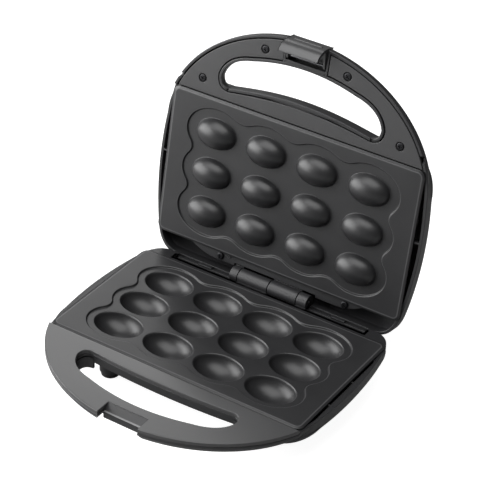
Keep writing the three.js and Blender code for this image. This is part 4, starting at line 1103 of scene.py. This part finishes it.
makePiece("lowerCover", lowerCover(), "base", "cover_grey", ["lower_handle_cover"])
# the lid's cover takes the darker copy of its grey, painted shade for its upright face
makePiece("lidCover", lidCover(), "lid", "cover_grey", ["lid_handle_cover"], "coverGreyShaded")


# Strip between the lid's plate and its hinge
stripLook = {"half": 81, "flat": 55, "back": 9.75, "top": 2.6, "thick": 2.3, "under": 2.2, "hole": 1.8,
             "boss": (-43, 64.2, 1.7)}


def hingeStrip():
    s, shape = stripLook, newShape()
    back, start = plate["halfY"] + s["back"], (s["half"], plate["halfY"] + plate["bevel"])
    curve = curveOf(start, ((s["flat"] + s["half"]) / 2, back), (s["flat"], back), 20)
    notchY = hinge["y"] - hinge["barrel"] - hinge["gap"]
    notch = [(hinge["notchHalf"], back), (hinge["notchHalf"], notchY)]
    loop = mirrorLoop(np.vstack([[(s["half"], plate["halfY"] - s["under"])], curve, notch]))
    low, high = -s["top"] - s["thick"], -s["top"]
    holes = [ellipse(-x, hinge["stripScrewY"], s["hole"], s["hole"], 32) for x in hinge["stripScrews"]]
    addSlab(shape, loop, holes, low, high, 0.4, 0.2)
    # a raised ring with a sunk middle
    x, y, r = s["boss"]
    addTurned(shape, [(0, high - 1), (r, high - 1), (r, high + 0.25), (r - 0.25, high + 0.45),
                      (r - 0.9, high + 0.45), (r - 1.1, high + 0.2), (r - 1.1, high - 0.2), (0, high - 0.2)],
              -x, y, 40)
    return shape


makePiece("hingeStrip", hingeStrip(), "lid", "shell_black", ["hinge_strip"])
print("covers and strip made")


# Latch: a curved clip with two side plates, hung on its pin
latch = {
    "half": 17, "face": 14.2, "wall": 1.7, "top": 5.5, "flat": 3.5, "pull": 12.5, "tip": (-6.8, 16.5),
    "arm": 3, "ridge": 0.8, "ridgeWide": 2.2, "ridgeHalf": 12, "softEdge": 0.45,
    "bore": 1.4, "pinY": -115, "pinZ": -2.5, "pinRadius": 1.1, "pinHalf": 18.5,
}


def latchShape():
    s, shape = latch, newShape()
    face, wall, flat, half = s["face"], s["wall"], s["flat"], s["half"]
    outer = np.vstack([[(-face, -s["top"])], curveOf((-face, flat), (-face, s["pull"]), s["tip"], 20)])
    innerTip = (s["tip"][0], s["tip"][1] - wall)
    inner = curveOf((wall - face, flat), (wall - face, s["pull"] - 1), innerTip, 20)
    inner = np.vstack([[(wall - face, -s["top"])], inner])
    at = np.array([s["pinY"], s["pinZ"]])
    clip = softCorners(np.vstack([outer, inner[::-1]]), s["softEdge"], 4) + at
    addAcross(shape, clip, -half, half, s["softEdge"])
    ridge = arcOf(-face, flat - s["ridgeWide"] / 2, s["ridge"], s["ridgeWide"] / 2, 90, 270, 12)
    ridge = np.vstack([ridge, [(gap - face, flat - s["ridgeWide"]), (gap - face, flat)]])
    addAcross(shape, ridge + at, -s["ridgeHalf"], s["ridgeHalf"], 0.35)
    web = np.vstack([[(0.6 - face, flat + 2), (0.6 - face, -s["arm"]), (0, -s["arm"])],
                     arcOf(0, 0, s["arm"], s["arm"], -90, 95, 24)[1:]])
    hole = ellipse(0, 0, s["bore"], s["bore"], 32)
    for x0, x1 in ((-half + 0.1, -half + wall), (half - wall, half - 0.1)):
        addAcross(shape, web + at, x0, x1, 0.2, [hole + at])
    return shape


def pinShape(x0, x1, y, z, radius, edge):
    shape = newShape()
    addBar(shape, x0, x1, y, z, radius, edge, 32)
    return shape


latchPin = pinShape(-latch["pinHalf"], latch["pinHalf"], latch["pinY"], latch["pinZ"], latch["pinRadius"], 0.3)
hingePin = pinShape(hinge["ends"][0] - 0.6, hinge["ends"][-1] + 0.6, hinge["y"], 0, hinge["pin"], 0.5)
makePiece("latchClip", latchShape(), "latch", "cover_grey", ["latch"])
makePiece("latchPin", latchPin, "lid", "screw_steel", ["latch_pin"])
makePiece("hingePin", hingePin, "base", "screw_steel", ["hinge_pin"], "screwDark")
print("latch and pins made")


# Screws: a domed head with a cross recess, and a shank with a thread's rings
screw = {"head": 3.05, "shank": 1.5, "root": 1.15, "pitch": 0.8, "cross": 1.55, "crossHalf": 0.36}


def screwShape(height, length):
    # the head's underside is at z 0, the head above it and the shank below
    shape, s = newShape(), screw
    root, shank, head = s["root"], s["shank"], s["head"]
    turns = np.arange(-length + 0.9, -0.6, s["pitch"])
    thread = [(r, z + dz) for z in turns for r, dz in ((root, 0), (shank, 0.34), (root, 0.68))]
    dome = [(head - p, height * (1 - 0.7 * q)) for p, q in quarterRound(1, 5)]
    rings = addCircles(shape, [(root * 0.6, -length), *thread, (shank - 0.1, -0.1), (head - 0.2, 0),
                               (head, 0.12), *dome], count=24)
    addBands(shape, rings)
    addTip(shape, rings[0], (0, 0, -length), closing=False)
    a, b = s["cross"], s["crossHalf"]
    arm = np.array([(b, -a), (b, -b), (a, -b), (a, b), (b, b), (b, a)])
    mouth, floor = addChain(shape, np.vstack([arm, -arm]), [(0, height), (-0.08, height * 0.35)])
    addCap(shape, rings[-1], [mouth])
    addCap(shape, floor)
    return shape


stripScrews = [(-x, hinge["stripScrewY"]) for x in hinge["stripScrews"]]
screwSets = [
    # piece, node, body, places, the height of the head's underside, the tip's, the head's own, head's side
    ("lowerPlateScrew", "lower_plate_screw", "base", screwPosts, -24.6, -9, 2.4, "below"),
    ("lowerCoverScrew", "lower_cover_screw", "base", handleScrews, -8.3, -3.3, 1.2, "below"),
    ("reflectorScrew", "upper_reflector_screw", "lid", screwPosts, -17.8, -9, 1.6, "below"),
    ("upperPlateScrew", "upper_plate_screw", "lid", middlePosts, -24.6, -9, 2.4, "below"),
    ("lidCoverScrew", "lid_cover_screw", "lid", lidHandleScrews, -2.2, -7.7, 1.2, "above"),
    ("stripScrew", "strip_screw", "lid", stripScrews, -2.3, -13.9, 1.2, "above"),
]
for name, node, bodyName, spots, seat, tip, height, side in screwSets:
    for i, (x, y) in enumerate(spots, 1):
        turn = turned("X", 180 if side == "below" else 0) @ turned("Z", 25 + 67 * i)
        makePiece(f"{name}{i}", screwShape(height, abs(tip - seat)), bodyName, "screw_steel", [f"{node}_{i}"],
                  "screwDark", places[bodyName] @ moved(x, y, seat) @ turn)
print("screws made")


# Feet, lenses, lamps and the cord's grommet, as (radius, height) round each section
profiles = {
    "foot": [(0, -37.3), (3.4, -37.3), (3.9, -37.6), (4.3, -37.95), (5.9, -37.95), (6.7, -37.75), (7.2, -37.2),
             (7.38, -36.4), (7.38, -34.6), (7.25, -34.15), (6.9, -34.02), (2.6, -34.02), (2.6, -29.3),
             (2.2, -28.75), (0, -28.75)],
    "lens": [(0, -37.75), (0.9, -37.73), (1.8, -37.63), (2.6, -37.4), (3.2, -37.08), (3.55, -36.7),
             (3.68, -36.2), (3.68, -34.22), (4.98, -34.2), (4.98, -33.45), (4.6, -33.42), (0, -33.42)],
    "lamp": [(0, -33.08), (0.9, -33.0), (1.7, -32.6), (2.3, -31.9), (2.56, -31), (2.56, -22.6), (2.2, -22.3),
             (2.56, -22), (2.56, -20.3), (2.3, -20.15), (0, -20.15)],
    "grommet": [(5.9, -8.9), (6, -8.5), (6, 0.32), (7.3, 0.32), (7.55, 0.6), (7.55, 1.3), (7.2, 1.75),
                (6.6, 1.88), (4.3, 1.88), (3.7, 1.7), (3.45, 1.3), (3.45, -8.9)],
    "thermostat": [(0, -24.75), (3, -24.75), (3.2, -24.4), (7.3, -24.4), (7.8, -24.2), (7.97, -23.7),
                   (7.97, -19.6), (8.2, -19.32), (10.6, -19.3), (10.95, -19.1), (10.95, -18), (10.8, -17.83),
                   (0, -17.83)],
    "fuse": [(0, 19.05), (1.9, 19.05), (2.3, 19.3), (2.36, 19.7), (2.36, 20.9), (2.1, 21.1), (2.1, 32.9),
             (2.36, 33.1), (2.36, 34.3), (2.3, 34.7), (1.9, 34.95), (0, 34.95)],
}
for corner, (x, y) in footPlaces.items():
    foot = addTurned(newShape(), profiles["foot"], x, y)
    makePiece("foot_" + corner, foot, "base", "rubber", ["foot_" + corner])
for name, x, tint in (("power", -lidLook["lampX"], "red"), ("ready", lidLook["lampX"], "green")):
    lens = addTurned(newShape(), profiles["lens"], x, lidLook["lampY"])
    lamp = addTurned(newShape(), profiles["lamp"], x, lidLook["lampY"])
    makePiece(name + "Lens", lens, "lid", tint + "_lens", [name + "_lens"])
    makePiece(name + "Lamp", lamp, "lid", "lamp_glass", [name + "_lamp"])
grommet = addTube(newShape(), profiles["grommet"])
makePiece("cordGrommet", grommet, "base", "rubber", ["cord_grommet"], place=basePlace @ inletPlace)
print("feet, lamps and grommet made")


# Heating loop: a round tube carried along its path, with a thinner pin at each end
element = {
    "radius": 3.22, "x": 96, "y": 53.5, "z": -7.55, "corner": 14, "gapHalf": 15, "end": -14.9, "pin": 1.5,
    "pinLong": 2.6,
}


def elementShape():
    e, shape = element, newShape()
    r, c, x, y, z = e["radius"], e["corner"], e["x"], e["y"], e["z"]
    flat = np.vstack([[(e["gapHalf"] + r, y)], curveOf((x - c, y), (x, y), (x, y - c), 14),
                      curveOf((x, c - y), (x, -y), (x - c, -y), 14)])
    flat = np.vstack([flat, flat[::-1] * [-1, 1]])
    flat = np.column_stack([flat, np.full(len(flat), z)])
    drop = curveOf((e["gapHalf"], z - r), (e["gapHalf"], z), (e["gapHalf"] + r, z), 8)[:-1]
    middle, step = e["gapHalf"], e["end"] + e["pinLong"]
    drop = curveOf((middle, z - r), (middle, z), (middle + r, z), 8)[:-1]
    down = np.vstack([[(middle, e["end"]), (middle, step), (middle, step + 0.05)], drop])
    start = np.column_stack([down[:, 0], np.full(len(down), y), down[:, 1]])
    path = np.vstack([start, flat, start[::-1] * [-1, 1, 1]])
    along = np.gradient(path, axis=0)
    along /= np.linalg.norm(along, axis=1, keepdims=True)
    # the section's axes: level and upright on the loop, across and in its plane on the two drops
    level = np.abs(along[:, 2:]) < 1e-6
    across = np.where(level, np.column_stack([-along[:, 1], along[:, 0], 0 * along[:, 0]]), [[0, 1, 0]])
    other = np.cross(along, across)
    width = np.full(len(path), r)
    width[:2] = width[-2:] = e["pin"]
    t = np.linspace(0, 2 * math.pi, 24, endpoint=False)[:, None]
    rings = [addRing(shape, p + w * (np.cos(t) * u + np.sin(t) * v))
             for p, u, v, w in zip(path, across, other, width)]
    addBands(shape, rings)
    addTip(shape, rings[0], path[0], closing=False)
    addTip(shape, rings[-1], path[-1])
    return shape


reflector = {
    "halfX": 101, "halfY": 58.25, "corner": 4, "low": -17.5, "floor": -16.5, "screwHole": 1.8,
    # (distance out, height) between the underside and the floor
    "section": [(-1.3, -17.5), (-0.7, -17.35), (-0.25, -16.95), (-0.03, -16.3), (-0.03, -9.15), (-0.15, -9.03),
                (-0.85, -9.03), (-0.97, -9.15), (-0.97, -16.0), (-1.15, -16.35), (-1.6, -16.5)],
}


def reflectorShape(spots):
    # a pressed tray with rounded corners and a hole for each screw
    shape, s = newShape(), reflector
    outline = roundedBox(s["halfX"], s["halfY"], s["corner"], 12)
    under, floor = addChain(shape, outline, s["section"])
    hole = [(s["screwHole"], s["low"]), (s["screwHole"], s["floor"])]
    walls = [addWall(shape, x, y, hole, 24) for x, y in spots]
    addCap(shape, under, [low for low, high in walls], up=False)
    addCap(shape, floor, [high for low, high in walls])
    return shape


for name, bodyName, spots in (("lower", "base", screwPosts), ("upper", "lid", screwPosts + middlePosts)):
    makePiece(name + "Element", elementShape(), bodyName, "element_steel", [name + "_heating_element"],
              sharp=40)
    makePiece(name + "Reflector", reflectorShape(spots), bodyName, "sheet_aluminium", [name + "_reflector"])


# Thermostat, fuse and terminal block under the lower reflector
fuse = {"y": 0, "z": -20.2}
terminals = {
    "box": (-34.95, -5.05, 21.05, 34.95, -30.85, -25), "x": (-30, -20, -10), "y": 28, "halfX": 3.9, "halfY": 5,
    "low": -25.2, "high": -21.95, "hole": 1.9,
}


def terminalBlock():
    # a block with a raised, drilled pad for each wire
    s, shape = terminals, newShape()
    addBlock(shape, *s["box"], 0.4)
    for x in s["x"]:
        pad = boxLoop(x - s["halfX"], x + s["halfX"], s["y"] - s["halfY"], s["y"] + s["halfY"])
        hole = ellipse(x, s["y"], s["hole"], s["hole"], 28)
        addSlab(shape, softCorners(pad, 1), [hole], s["low"], s["high"], 0.35, 0.05)
    return shape


disc = addTurned(newShape(), profiles["thermostat"], count=64)
makePiece("thermostatDisc", disc, "base", "screw_steel", ["thermostat"])
fuseShape = addTurned(newShape(), profiles["fuse"], fuse["y"], fuse["z"], 32)
makePiece("thermalFuse", fuseShape, "base", "ceramic", ["thermal_fuse"], place=basePlace @ lyingX)
makePiece("terminalBlock", terminalBlock(), "base", "ceramic", ["terminal_block"])
print("inside made")

for part in frame["record"]["subparts"]:
    node = bpy.data.objects[part["node"]]
    node.data.materials.clear()
    node.data.materials.append(material[finish[part["material_slot"]]])
